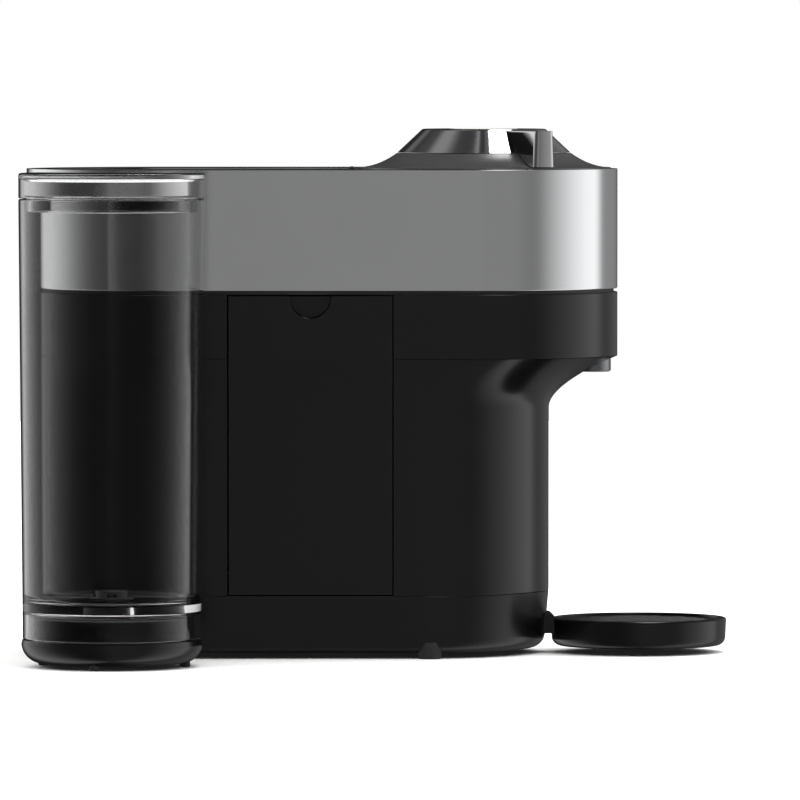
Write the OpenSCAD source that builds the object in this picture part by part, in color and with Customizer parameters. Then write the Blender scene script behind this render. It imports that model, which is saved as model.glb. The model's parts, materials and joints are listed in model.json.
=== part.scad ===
// Pod coffee machine with a swinging water tank beside a stadium-shaped body.
// Design frame: x = 0, y = 0 is the tank's swivel axis, the front points along +X,
// y = 0 is the body's middle plane and z = 0 is the table. frame_x and frame_y then
// move the whole machine so that its origin is the middle of its footprint.

/* [Body] */
// Width of the head, the band and the deck
body_w = 136; // [134:1:138]
// Length of the head from its rear to its front
body_len = 281.7; // [280:0.1:284]
// Height of the deck above the table
deck_top = 230.8; // [229:0.1:233]
// Height of the knob's flat top above the table
knob_top = 249.7; // [248:0.1:252]
// Height of the seam between the base and the body
base_top = 29.9; // [28:0.1:31]
// Height of the seam between the head and the band
head_top = 172.2; // [171:0.1:173]
// Distance that the front of the lower body stands back from the head
cup_recess = 32.7; // [31:0.1:34]
// Distance that the sides of the lower body stand in from the head
side_recess = 6; // [5.5:0.1:6.5]

/* [Tank] */
// Diameter of the tank at its rim
tank_d = 86.8; // [86:0.1:87.5]
// Diameter of the tank at its foot
tank_foot_d = 83.2; // [82.5:0.1:83.5]
// Distance from the swivel axis to the tank's axis
tank_reach = 117.5; // [117:0.1:119]
// Angle of the tank from straight behind the body
tank_angle = 78.1; // [74:0.1:78.1]

/* [Bin] */
// Width of the used-capsule bin's panel
bin_w = 77.4; // [76:0.1:78]
// Centre of the bin's panel in front of the swivel axis
bin_x = 67.8; // [67:0.1:68.5]

/* [Tray] */
// Diameter of the cup stand
tray_d = 83.8; // [82:0.1:84]
// Height of the cup stand's rim above the table
tray_top = 16.6; // [16:0.1:17]

/* [Lid] */
// Distance from the swivel axis to the brewing axis
brew_x = 150; // [149.5:0.1:150.2]
// Diameter of the knob where it meets the lid
knob_d = 82.4; // [82:0.1:83]
// Direction of the lever from straight ahead, towards the tank
lever_angle = 61.6; // [58:0.1:64]

/* [Hidden] */
$fn = 72;
wall = 2.4;
fit_gap = 0.4;
half_seam = 0.1;

// Stadium outlines: half width, then the centres of the rear and the front round ends
head_r = body_w / 2;
head_front = body_len - body_w;
low_r = head_r - side_recess;
low_rear = -side_recess;
low_front = head_front + head_r - cup_recess - low_r;
low_nose = low_front + low_r;
cove_low = 117.5;
cove_top = 141.7;
cove_steps = 8;
cove_power = 1.75;

// Heights in the base
base_low = 2.5;
base_round = 7;
swivel_top = 13.2;
base_floor = 15.6;
swivel_r = 57;
front_foot = [124.1, 54.8];
foot_r = 5.5;
foot_top = 8;
hub_r = 14;
water_bore = 5;
screw_r = 1.5;
screw_head_r = 3.2;
screw_seat = 4.1;
screw_tip = 22;
screw_places = [for (x = [75, 100], side = [-1, 1]) [x, side * 30]];

// Heights in the head
frame_plate = 3;
band_low = head_top + 1.6;
band_wall = 1.4;
lip_h = 3;
chute_x = [58.6, 103];
chute_y = [-34.4, 34.4];
chute_wall = 1.6;
deck_thick = 2.2;
lid_r = 60.5;
lid_hole_r = 61;
hinge_x = 87;
hinge_z = 229.5;
pin_r = 1.2;
knuckle_r = 2.1;
lid_seat = 236;
knob_low = 238.4;
knob_flat_r = 29.7;
slot_r = [23.5, 27.5];
slot_start = 20;
slot_sweep = 82;
knob_wall = 2.4;
button_r = 13.6;
fin_reach = 60;
fin_t = 11;
lip_r = 36.4;
lip_top = 238.9;

// Brewing parts
cup_r = 28.5;
cup_top = 221.5;
cup_floor = 186.5;
cup_round = 4.5;
shaft_r = 5;
motor_r = 24;
motor_low = 76;
spout_x = 201.4;
spout_r = 9.2;
spout_low = 133.9;
spout_bore = 3.2;

// Tank
skirt_low = 13.3;
tank_floor = [26.2, 29.5];
tank_wall = 2.8;
rim_low = 215;
rim_top = 218;
lid_skirt_low = 218.4;
lid_under = 227.4;
lid_top = 230.1;
plug_low = 212;
bright_ring_r = [38.6, 41.1];
dish_r = 41.9;
plinth_r = 38.4;
plinth_top = 24.8;
plinth_round = 2.4;
valve_pin_top = 22.6;
dish_foot_ring = 34;

// Where the machine's frame sits in the design frame
frame_x = (tray_front() - body_w / 2) / 2;
frame_y = (body_w / 2 + tank_y() - tank_d / 2) / 2;

function tank_x() = -tank_reach * cos(tank_angle);
function tank_y() = -tank_reach * sin(tank_angle);
function tray_x() = low_front + low_r + tray_d / 2 + 1;
function tray_front() = tray_x() + tray_d / 2;

// ---------- shared shapes ----------

// Points on an arc about c in a profile, from angle a to angle b
function arc(c, r, a, b, n = 6) =
    [for (i = [0:n]) let (t = a + (b - a) * i / n) [c[0] + r * cos(t), c[1] + r * sin(t)]];

module placed() translate([-frame_x, -frame_y, 0]) children();

module at_brew() translate([brew_x, 0, 0]) children();

module at_tank() translate([tank_x(), tank_y(), 0]) children();

module stadium2d(r, rear, front) {
    translate([rear, 0]) circle(r);
    translate([front, 0]) circle(r);
    translate([rear, -r]) square([front - rear, 2 * r]);
}

module stadium(r, rear, front, low, top)
    translate([0, 0, low]) linear_extrude(top - low) stadium2d(r, rear, front);

// A stadium with a turned profile: points [radius, height], closed along the axis
module stadium_turned(rear, front, profile) {
    translate([rear, 0, 0]) rotate_extrude() polygon(profile);
    translate([front, 0, 0]) rotate_extrude() polygon(profile);
    translate([rear, 0, 0]) rotate([90, 0, 90]) linear_extrude(front - rear) {
        polygon(profile);
        mirror([1, 0]) polygon(profile);
    }
}

module disc(r, low, top) translate([0, 0, low]) cylinder(r = r, h = top - low);

module ring(outer, inner, low, top) difference() {
    disc(outer, low, top);
    disc(inner, low - 1, top + 1);
}

module block(x, y, z) translate([x[0], y[0], z[0]]) cube([x[1] - x[0], y[1] - y[0], z[1] - z[0]]);

module rod_y(r, y, x, z) translate([x, y[0], z]) rotate([-90, 0, 0]) cylinder(r = r, h = y[1] - y[0]);

module rod_x(r, x, y, z) translate([x[0], y, z]) rotate([0, 90, 0]) cylinder(r = r, h = x[1] - x[0]);

// A tube swept along points, one ring a point, turned as little as possible between rings
function unit(v) = v / norm(v);
function tangent(p, i) = unit(p[min(i + 1, len(p) - 1)] - p[max(i - 1, 0)]);
function carried(p, i) =
    i == 0
        ? unit(cross(tangent(p, 0), abs(tangent(p, 0)[2]) > 0.9 ? [1, 0, 0] : [0, 0, 1]))
        : let (t = tangent(p, i), n = carried(p, i - 1)) unit(n - t * (n * t));
module swept(p, r, sides = 8) {
    normals = [for (i = [0:len(p) - 1]) carried(p, i)];
    points = [
        for (i = [0:len(p) - 1])
            let (n = normals[i], b = cross(tangent(p, i), n))
            for (k = [0:sides - 1])
                p[i] + r * (n * cos(360 * k / sides) + b * sin(360 * k / sides))
    ];
    last = (len(p) - 1) * sides;
    polyhedron(points, concat(
        [[for (k = [0:sides - 1]) k]],
        [for (i = [0:len(p) - 2]) for (k = [0:sides - 1])
            let (a = i * sides + k, b = i * sides + (k + 1) % sides)
            [a, a + sides, b + sides, b]],
        [[for (k = [sides - 1:-1:0]) last + k]]
    ));
}

// Points of a smooth curve through p
function spline(p, n = 5) = [
    for (i = [0:len(p) - 2]) for (k = [0:n - 1])
        let (t = k / n, a = p[max(i - 1, 0)], b = p[i], c = p[i + 1], d = p[min(i + 2, len(p) - 1)])
        0.5 * (2 * b + (c - a) * t + (2 * a - 5 * b + 4 * c - d) * t * t
            + (3 * b - a - 3 * c + d) * t * t * t),
    p[len(p) - 1]
];

// Points of a helix about the z axis
function helix(r, low, top, turns, n = 14) =
    [for (i = [0:turns * n]) let (u = i / (turns * n), a = 360 * turns * u)
        [r * cos(a), r * sin(a), low + (top - low) * u]];

// ---------- base ----------

module base_shell() color("#161616") placed() difference() {
    stadium_turned(low_rear, low_front, concat(
        [[0, base_low]],
        arc([low_r - base_round, base_low + base_round], base_round, -90, 0),
        [[low_r, base_top], [0, base_top]]
    ));
    stadium(low_r - wall, low_rear, low_front, base_floor, base_top + 1);
    intersection() {
        stadium(low_r - wall, low_rear, low_front, foot_top + 4, base_floor + 1);
        block([swivel_r + 5, 200], [-80, 80], [0, 40]);
    }
    intersection() {
        stadium(low_r - 14, low_rear, low_front, base_low + wall, foot_top + 5);
        block([swivel_r + 5, 200], [-80, 80], [0, 40]);
    }
    disc(swivel_r + 1.5, -1, swivel_top);
    block([-90, 5], [-90, 90], [-1, swivel_top]);
    disc(water_bore, 0, base_floor + 1);
    for (side = [-1, 1]) translate([front_foot[0], side * front_foot[1], 0]) disc(foot_r, 0, foot_top);
    block([low_nose - 12, low_nose + 2], [-11, 11], [9, 19.8]);
    for (p = screw_places) translate([p[0], p[1], 0]) {
        disc(screw_head_r, 0, screw_seat);
        disc(screw_r, 0, base_low + wall + 1);
    }
}

module base_feet() color("#202020") placed() {
    for (side = [-1, 1]) translate([front_foot[0], side * front_foot[1], 0]) disc(foot_r, 0, foot_top);
    ring(hub_r - 1, water_bore + 1, 0, 3);
}

module case_screws() color("#8a8c8e") placed()
    for (p = screw_places) translate([p[0], p[1], 0]) difference() {
        union() {
            disc(screw_head_r, base_low + 0.2, screw_seat);
            disc(screw_r, screw_seat - 0.2, screw_tip);
        }
        linear_extrude(screw_seat - 0.3) circle(r = 1.1, $fn = 6);
    }

module swivel_hub() color("#202020") placed() ring(hub_r, water_bore, 3, swivel_top);

// ---------- lower body, cove and head ----------

// Two half shells that meet at the middle plane; the near one is parted by the bin's opening
module body_shell() color("#181818") placed() difference() {
    stadium(low_r, low_rear, low_front, base_top, cove_low);
    stadium(low_r - wall, low_rear, low_front, base_top - 1, cove_low + 1);
    block(bin_opening_x(), [-90, -50], [base_top - 1, cove_low + 1]);
    rod_x(gland_r, [-90, -50], 0, gland_z);
    for (i = [0:5]) block([-20, 12], [50, 90], [50 + 7 * i, 53 + 7 * i]);
    block([-80, low_nose + 1], [-half_seam / 2, half_seam / 2], [base_top - 1, cove_low + 1]);
}

function bin_opening_x() = [bin_x - bin_w / 2 - 0.5, bin_x + bin_w / 2 + 0.5];
function cove_share(z) = pow((z - cove_low) / (cove_top - cove_low), cove_power);

// Outline of the cove at height z: it grows from the lower body to the head
function cove_ring(z, n = 22) =
    let (f = cove_share(z), r = low_r + side_recess * f, rear = low_rear + side_recess * f,
        front = low_front + (head_front - low_front) * f)
    concat(
        [for (i = [0:n]) let (a = -90 + 180 * i / n) [front + r * cos(a), r * sin(a), z]],
        [for (i = [0:n]) let (a = 90 + 180 * i / n) [rear + r * cos(a), r * sin(a), z]]
    );

// A solid through rings of equal point counts, one above the other
module lofted(rings) {
    m = len(rings[0]);
    top = (len(rings) - 1) * m;
    polyhedron([for (r = rings) for (p = r) p], concat(
        [[for (k = [0:m - 1]) k]],
        [for (i = [0:len(rings) - 2]) for (k = [0:m - 1]) for (half = [0, 1])
            let (a = i * m + k, b = i * m + (k + 1) % m) half == 0 ? [a, a + m, b + m] : [a, b + m, b]],
        [[for (k = [m - 1:-1:0]) top + k]]
    ));
}

module neck_cove() color("#141414") placed() difference() {
    lofted([for (i = [0:cove_steps]) cove_ring(cove_low + (cove_top - cove_low) * i / cove_steps)]);
    stadium(low_r - wall, low_rear, low_front, cove_low - 1, cove_top + 1);
    block(bin_opening_x(), [-90, -50], [cove_low - 1, cove_top + 1]);
    translate([spout_x, 0, 0]) disc(spout_r, 100, cove_top + 1);
}

module head_shell() color("#1c1c1c") placed() difference() {
    stadium(head_r, 0, head_front, cove_top, head_top);
    stadium(head_r - wall, 0, head_front, cove_top - 1, head_top + 1);
    block(bin_opening_x(), [-90, -60], [cove_top - 1, head_top + 1]);
}

module chassis_plate() color("#3a3a3a") placed() difference() {
    stadium(head_r - wall - 0.4, 0, head_front, cove_top, cove_top + frame_plate);
    block([bin_bay_x()[0] - 2.2, bin_bay_x()[1] + 2.2], [-90, 52], [cove_top - 1, 160]);
    at_brew() disc(shaft_r + 3, cove_top - 1, 160);
    translate([spout_x, 0, 0]) disc(spout_r, 100, 160);
    block([-50, 10], [-45, 45], [cove_top - 1, 160]);
}

module mid_frame() color("#101010") placed() difference() {
    union() {
        stadium(head_r - 1.8, 0, head_front, head_top, band_low);
        stadium(head_r - band_wall, 0, head_front, band_low, band_low + lip_h);
    }
    stadium(head_r - wall - 0.2, 0, head_front, band_low, band_low + lip_h + 1);
    block(chute_x, chute_y, [head_top - 1, band_low + 1]);
    block([-34, 8], [-40, 40], [head_top - 1, band_low + 1]);
    at_brew() disc(18.2, head_top - 1, band_low + 1);
    translate([outlet_x, 0, 0]) disc(outlet_r + 1.4, head_top - 1, band_low + 1);
}

module band() color("#8d8e90") placed() difference() {
    stadium(head_r, 0, head_front, band_low, deck_top);
    stadium(head_r - band_wall, 0, head_front, band_low - 1, deck_top + 1);
}

module deck() color("#86878a") placed() difference() {
    stadium(head_r - band_wall - fit_gap, 0, head_front, deck_top - deck_thick, deck_top);
    at_brew() disc(lid_hole_r, deck_top - 5, deck_top + 1);
    block([hinge_x - 3, hinge_x + 6], [-23, 23], [deck_top - 5, deck_top + 1]);
}

// ---------- lid hinge ----------

module hinge_bracket() color("#2c2c2c") placed() for (side = [-1, 1]) difference() {
    y = side > 0 ? [14, 22] : [-22, -14];
    union() {
        rod_y(knuckle_r, y, hinge_x, hinge_z);
        block([hinge_x - 13, hinge_x + 0.5], y, [226, deck_top - deck_thick]);
    }
    rod_y(pin_r, [-30, 30], hinge_x, hinge_z);
}

module hinge_pin() color("#b8babc") placed() rod_y(pin_r, [-22, 22], hinge_x, hinge_z);

module lid_switch() color("#2a2a2a") placed() {
    block([68, 78], [26, 33], [218, deck_top - deck_thick]);
    block([77.8, 80], [28, 31], [224, 227]);
}

// ---------- brewing parts in the head ----------

outlet_x = 187;
outlet_r = 4;

module bearing_housing() color("#3a3a3a") placed() at_brew() {
    ring(18, 15, cove_top + frame_plate, band_low);
    ring(22, 18, cove_top + frame_plate, cove_top + frame_plate + 3);
}

module rotor_bearings() color("#b0b2b4") placed() at_brew() for (z = [149, 163]) {
    ring(15, 12, z, z + 6);
    ring(8, shaft_r + 0.05, z, z + 6);
    for (i = [0:7]) rotate(45 * i) translate([10, 0, z + 3]) sphere(r = 1.98, $fn = 24);
}

module motor_can() color("#9a9c9e") placed() at_brew() difference() {
    disc(motor_r, motor_low, cove_top);
    disc(motor_r - 1.6, motor_low + 2, cove_top - 3);
    disc(shaft_r + 1.5, motor_low - 1, cove_top + 1);
}

module motor_magnets() color("#54565a") placed() at_brew() for (i = [0:3]) rotate(90 * i) difference() {
    ring(motor_r - 1.62, 17.5, 86, 128);
    for (a = [38, 142]) rotate(a) translate([0, 0, 80]) cube([60, 60, 60]);
    rotate(180) translate([-60, 0, 80]) cube([120, 60, 60]);
}

module drive_shaft() color("#c4c6c8") placed() at_brew() disc(shaft_r, 80, 184);

module motor_core() color("#a86a34") placed() at_brew() difference() {
    union() {
        ring(15.5, shaft_r, 90, 124);
        ring(8, shaft_r, 82, 88);
    }
    for (i = [0:8]) rotate(40 * i) translate([13, -1, 89]) cube([4, 2, 36]);
}

module capsule_cup() color("#2a2a2c") placed() at_brew() difference() {
    rotate_extrude() polygon(concat(
        [[shaft_r, 178], [11, 178], [11, 184]],
        arc([cup_r - cup_round, cup_floor + cup_round], cup_round + 2, -80, 0),
        [[cup_r + 2, 218.5], [35, 218.5], [35, cup_top], [cup_r, cup_top]],
        arc([cup_r - cup_round, cup_floor + cup_round], cup_round, 0, -90),
        [[0, cup_floor], [0, 184], [shaft_r, 184]]
    ));
    for (i = [0:11]) rotate(30 * i) translate([33.2, 0, 217]) cylinder(r = 0.9, h = 6);
}

module coffee_collector() color("#303032") placed() at_brew() difference() {
    rotate_extrude() polygon([
        [18.2, band_low], [43.6, band_low], [43.6, 217.5], [41.8, 217.5],
        [41.8, 176.6], [20, 176.6], [20, 182], [18.2, 182]
    ]);
    translate([outlet_x - brew_x, 0, 0]) disc(outlet_r, 170, 180);
}

module spout() color("#3c3d40") placed() difference() {
    union() {
        translate([spout_x, 0, 0]) disc(spout_r, spout_low, 147);
        block([outlet_x - 6, spout_x + 6], [-5.6, 5.6], [145, 151]);
        translate([outlet_x, 0, 0]) disc(outlet_r + 1.2, 147, band_low);
    }
    translate([spout_x, 0, 0]) disc(spout_bore, spout_low - 1, 149);
    translate([outlet_x, 0, 0]) disc(spout_bore, 146.6, 190);
    block([outlet_x, spout_x], [-spout_bore + 0.4, spout_bore - 0.4], [146.6, 149]);
}

// The part of a ring between two angles, less than half a turn apart
module ring_piece(r, angles, z) difference() {
    ring(r[1], r[0], z[0], z[1]);
    rotate(angles[0] + 180) translate([-100, 0, z[0] - 1]) cube([200, 100, z[1] - z[0] + 2]);
    rotate(angles[1]) translate([-100, 0, z[0] - 1]) cube([200, 100, z[1] - z[0] + 2]);
}

chamber_low = 217.5;
chamber_plate = 219.5;
fork_x = 105;
fork_z = 222.8;
fork_pin_r = 0.74;

// Floor and wall round the capsule opening, with three bayonet keepers and the ejector's pivots
module chamber_ring() color("#1b1b1c") placed() {
    at_brew() difference() {
        union() {
            ring(lid_r, 42.6, chamber_low, chamber_plate);
            ring(lid_r + 1.5, 59.2, chamber_low, deck_top - deck_thick);
        }
        translate([-70, -24, 210]) cube([32, 48, 30]);
        translate([-70, -34, chamber_plate]) cube([32, 68, 30]);
    }
    at_brew() for (i = [0:2]) ring_piece([51.5, 55], [120 * i + 8, 120 * i + 22], [chamber_plate - 0.5, 225]);
    for (side = [-1, 1]) {
        ear_y = side > 0 ? [29.4, 31.4] : [-31.4, -29.4];
        pin_y = side > 0 ? [25.4, 30] : [-30, -25.4];
        block([fork_x - 2, fork_x + 2], ear_y, [chamber_plate - 0.5, 225]);
        rod_y(fork_pin_r, pin_y, fork_x, fork_z);
    }
}

module barcode_reader() color("#7a1f1f") placed()
    at_brew() rotate(60) block([45, 50], [-4, 4], [chamber_plate, 223.5]);

// A shaft down into the bin, with a low front wall that the used capsule falls over
module capsule_chute() color("#28282a") placed() difference() {
    block(
        [chute_x[0] - chute_wall, chute_x[1] + chute_wall],
        [chute_y[0] - chute_wall, chute_y[1] + chute_wall], [band_low, 216]
    );
    block(chute_x, chute_y, [band_low - 1, 217]);
    block([chute_x[1] - 1, chute_x[1] + 5], chute_y, [204, 217]);
}

module eject_fork() color("#3c3c3e") placed() {
    at_brew() difference() {
        ring(36, 30, 222.1, 223.5);
        translate([-60, -40, 215]) cube([40, 80, 20]);
    }
    for (side = [-1, 1]) difference() {
        union() {
            block([106, brew_x - 19], side > 0 ? [25, 29] : [-29, -25], [222.1, 223.5]);
            rod_y(2, side > 0 ? [25, 29] : [-29, -25], fork_x, fork_z);
        }
        rod_y(fork_pin_r + 0.06, [-40, 40], fork_x, fork_z);
    }
}

// ---------- electrics and water ----------

module power_board() color("#1f5a34") placed() {
    block([-44, 50], [-38, 38], [188, 189.6]);
    for (x = [-40, 46], y = [-34, 34]) translate([x, y, 0]) disc(3, band_low, 188);
    for (i = [0:2]) translate([-30 + 24 * i, -18, 0]) disc(8, 189.6, 210);
    block([-34, -4], [4, 32], [189.6, 212]);
    block([6, 44], [8, 26], [189.6, 206]);
}

module control_board() color("#20603a") placed() {
    block([20, 21.6], [-46, 46], [96, 138]);
    block([21.6, 24], [-36, -12], [104, 128]);
    block([17, 20], [8, 38], [108, 122]);
    for (y = [-42, 42], z = [100, 134]) rod_x(2, [21.6, bin_bay_x()[0] - 1.6], y, z);
}

pump_place = [-30, -24];

module pump_body() color("#c9c4b4") placed() translate([pump_place[0], pump_place[1], 0]) difference() {
    union() {
        disc(12, 22, 40);
        disc(19, 40, 74);
        disc(10, 74, 88);
        disc(4, 88, 94);
    }
    disc(4.6, 44, 70);
    disc(1.8, 21, 45);
    disc(1.8, 69, 95);
}

module pump_plunger() color("#b4b6b8") placed()
    translate([pump_place[0], pump_place[1], 0]) disc(4.5, 50, 64);

module pump_mounts() color("#202022") placed()
    translate([pump_place[0], pump_place[1], 0]) ring(13.5, 6, base_floor, 22);

meter_place = [12, 34];

module flow_meter() color("#dcdcd4") placed() translate([meter_place[0], meter_place[1], 0]) difference() {
    union() {
        disc(12, base_floor, 32);
        disc(3.5, 32, 37);
    }
    disc(10, 18, 30);
    disc(2, 29, 38);
}

module flow_wheel() color("#d03c2c") placed() translate([meter_place[0], meter_place[1], 0]) {
    disc(1.6, 18.5, 29.5);
    for (i = [0:5]) rotate(60 * i) block([1.2, 8.6], [-0.6, 0.6], [19, 29]);
}

module thermoblock() color("#a9abad") placed() {
    difference() {
        block([-46, -4], [12, 40], [40, 132]);
        for (i = [0:7]) block([-50, 0], [37, 41], [46 + 10 * i, 50 + 10 * i]);
        for (x = [-36, -14]) translate([x, 26, 0]) disc(3, 120, 133);
    }
    for (x = [-40, -10]) translate([x, 26, 0]) disc(4, base_floor, 40);
}

gland_r = 7;
gland_z = 46;

module cable_gland() color("#1a1a1a") placed() difference() {
    intersection() {
        rod_x(gland_r, [-68, -56], 0, gland_z);
        stadium(low_r, low_rear, low_front, 20, 80);
    }
    rod_x(4.2, [-90, -50], 0, gland_z);
}

supply_route = [[0, 0, base_floor], [0, 0, 20], [0, 0, 25], [3, 8, 38], [10, 24, 49], [12, 33, 48],
    [12, 34, 43], [12, 34, 40], [12, 34, 37.3]];
suction_route = [[-0.4, 34, 24], [-2, 34, 24], [-4.4, 32.5, 23.5], [-3.4, 25, 22], [-3, 15, 21], [-6, 2, 22],
    [-9, -12, 26], [-9.5, -21, 29.5], [-12, -24, 30], [-14.5, -24, 30], [-17.7, -24, 30]];
pressure_route = [[-30, -24, 94.3], [-30, -24, 97], [-30, -24, 104], [-26, -6, 136],
    [-16, 14, 146], [-14, 26, 142], [-14, 26, 130]];
brew_route = [[-36, 26, 130], [-36, 26, 150], [-20, 20, 168], [4, 12, 180], [14, 44, 185],
    [52, 48, 198], [72, 46, 212], [86, 42, 221], [94, 40, 223], [100.8, 40, 223]];

module water_tubes() color("#e6e6e0") placed() {
    swept(spline(supply_route), 2.4);
    swept(spline(suction_route), 2);
    swept(spline(pressure_route), 2.2);
    swept(spline(brew_route), 2);
}

// ---------- bin and its bay ----------

function bin_bay_x() = [bin_opening_x()[0] - 1, bin_opening_x()[1] + 1];

module bin_bay() color("#1c1c1e") placed() difference() {
    block([bin_bay_x()[0] - 1.6, bin_bay_x()[1] + 1.6], [-48, 50], [base_floor, 140]);
    block(bin_bay_x(), [-60, 46], [base_top, 150]);
    difference() {
        block(bin_bay_x(), [-40, 44], [base_floor - 1, base_top - 2]);
        for (p = screw_places) translate([p[0], p[1], 0]) disc(4, 0, base_top);
    }
    for (p = screw_places) translate([p[0], p[1], 0]) disc(screw_r, base_floor - 1, screw_tip + 0.5);
}

bin_low = base_top + 0.5;
bin_top = head_top - 0.5;
bin_back = 42;
notch_r = 9.6;
notch_deep = 11;

// Outer side profile of the bin's panel, [y, z]: flat, then along the cove, then flat again
function panel_side(inset) = concat(
    [[-low_r + inset, bin_low + inset]],
    [for (i = [0:cove_steps]) let (z = cove_low + (cove_top - cove_low) * i / cove_steps)
        [-low_r - side_recess * cove_share(z) + inset, z]],
    [[-head_r + inset, bin_top + 1]]
);

module bin_profile(inset, back) rotate([90, 0, 90]) linear_extrude(bin_w - 2 * inset)
    polygon(concat(panel_side(inset), [[back, bin_top + 1], [back, bin_low + inset]]));

// Half-round block at the top edge of the panel, between two depths
module scoop(r, y, top) translate([bin_x, 0, head_top - notch_deep + notch_r]) {
    rod_y(r, y, 0, 0);
    block([-r, r], y, [0, top]);
}

module capsule_bin() color("#191919") placed() difference() {
    union() {
        difference() {
            translate([bin_x - bin_w / 2, 0, 0]) bin_profile(0, bin_back);
            translate([bin_x - bin_w / 2 + 1.8, 0, 0]) bin_profile(1.8, bin_back - 1.8);
        }
        scoop(notch_r + 1.6, [-head_r + 0.9, -head_r + 7.4], 2);
    }
    scoop(notch_r, [-head_r - 1, -head_r + 5.8], 20);
    block([0, 200], [-90, 90], [bin_top, bin_top + 20]);
}

// ---------- cup stand ----------

module drip_tray() color("#1d1d1d") placed() {
    difference() {
        translate([tray_x(), 0, 0]) rotate_extrude() polygon(concat(
            [[0, 3.3]],
            arc([tray_d / 2 - 4, 7.3], 4, -90, 0),
            [[tray_d / 2, tray_top], [38.6, tray_top], [38.6, 13.4], [36.6, 13.4], [36.6, 5.4], [0, 5.4]]
        ));
        block([0, low_nose + 0.8], [-60, 60], [0, 40]);
    }
    difference() {
        block([low_nose - 9, tray_x() - tray_d / 2 + 5], [-10.4, 10.4], [9.4, 19.4]);
        translate([tray_x(), 0, 0]) disc(tray_d / 2 - 0.6, 0, 30);
    }
}

module drip_grid() color("#2a2a2b") placed() translate([tray_x(), 0, 0]) difference() {
    disc(38.3, 13.6, 15.6);
    for (i = [-4:4]) let (half = sqrt(33 * 33 - pow(7 * i, 2)))
        if (i != 0) block([-half, half], [7 * i - 1.6, 7 * i + 1.6], [13, 16]);
    for (side = [-1, 1]) block(side > 0 ? [12, 33] : [-33, -12], [-1.6, 1.6], [13, 16]);
}

// ---------- lid ----------

function flare_z(r) = let (u = (r - knob_d / 2 - 0.4) / (lid_r - knob_d / 2 - 0.4))
    231.4 + (knob_low - 0.3 - 231.4) * pow(1 - u, 2);

module lid_shell() color("#4c4d50") placed() {
    at_brew() difference() {
        rotate_extrude() polygon(concat(
            [[lid_r, 229.2]],
            [for (i = [0:8]) let (r = lid_r - i / 8 * (lid_r - knob_d / 2 - 0.4)) [r, flare_z(r)]],
            [[knob_d / 2 + 0.4, lid_seat + 1.6], [6.4, lid_seat + 1.6], [6.4, lid_seat],
                [knob_d / 2 - 1.6, lid_seat],
                [knob_d / 2 + 0.8, 234.8], [50, 231.2], [57, 230.2], [57, 229.2]]
        ));
        for (i = [0:2]) let (a = 120 * i + slot_start) ring_piece(slot_r, [a, a + slot_sweep], [230, 240]);
    }
    at_brew() ring(lip_r, lip_r - 1.8, lid_seat + 1, lip_top);
}

module lid_plate() color("#262628") placed() difference() {
    union() {
        at_brew() ring(58, 47.5, 226.8, 229.2);
        rod_y(knuckle_r, [-13.6, 13.6], hinge_x, hinge_z);
        block([hinge_x, brew_x - 54], [-13.6, 13.6], [227.4, 229.2]);
    }
    rod_y(pin_r + 0.06, [-30, 30], hinge_x, hinge_z);
}

module injector() color("#38383a") placed() at_brew() {
    difference() {
        ring(22, 6.2, 228.4, lid_seat);
        for (i = [0:2]) rotate(120 * i + 60) translate([14, 0, 230]) cylinder(r = 2, h = 7);
    }
    difference() {
        union() {
            disc(6.2, 222.8, 229.6);
            disc(2.2, 214, 222.8);
            translate([0, 0, 210]) cylinder(r1 = 0.4, r2 = 2.2, h = 4);
        }
        disc(0.9, 213, 228);
    }
}

module lid_seal() color("#5a2a22") placed() at_brew() ring(55.6, 53, 225.2, 226.8);

module button_spring() color("#c8c8c8") placed() at_brew() swept(helix(7.6, 238.2, 246, 4), 0.5, 6);

module light_ring() color("#e8e8e4") placed() at_brew() ring(16.4, 14.4, knob_top - 1.6, knob_top);

module knob() color("#c0c1c4") placed() at_brew() difference() {
    rotate_extrude() polygon([
        [16.4, knob_top - 1.6], [16.4, knob_top],
        [knob_flat_r - 0.4, knob_top], [knob_flat_r, knob_top - 0.3],
        [knob_d / 2, knob_low + 0.3], [knob_d / 2, knob_low], [knob_d / 2 - 2.6, knob_low],
        [knob_flat_r - 1.2, knob_top - knob_wall], [14.4, knob_top - knob_wall], [14.4, knob_top - 1.6]
    ]);
    rotate(-lever_angle) block([knob_flat_r - 1.4, 60], [-fin_t / 2, fin_t / 2], [200, 260]);
}

// A fin from the knob's slope to the edge of the lid
module lever() color("#c4c5c8") placed() at_brew() rotate(-lever_angle) difference() {
    intersection() {
        block([knob_flat_r - 1.4, fin_reach + 2], [-fin_t / 2, fin_t / 2], [225, 249.1]);
        disc(fin_reach, 220, 260);
    }
    rotate_extrude() polygon(concat(
        [[0, 220], [0, lip_top + 0.5], [lip_r + 0.6, lip_top + 0.5], [lip_r + 0.6, knob_low]],
        [[knob_d / 2 + 0.4, knob_low]],
        [for (i = [0:8]) let (r = knob_d / 2 + 0.4 + i / 8 * (lid_r - knob_d / 2 - 0.4))
            [r, flare_z(r) + 0.5]],
        [[70, 231.9], [70, 220]]
    ));
}

module brew_button() color("#1a1a1a") placed() at_brew() {
    rotate_extrude() polygon(concat(
        [[0, 246.6], [button_r, 246.6]],
        arc([button_r - 0.8, 248.6], 0.8, 0, 90),
        [[6, 249.2], [0, 249]]
    ));
    disc(5.6, 238.8, 246.6);
}

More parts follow.
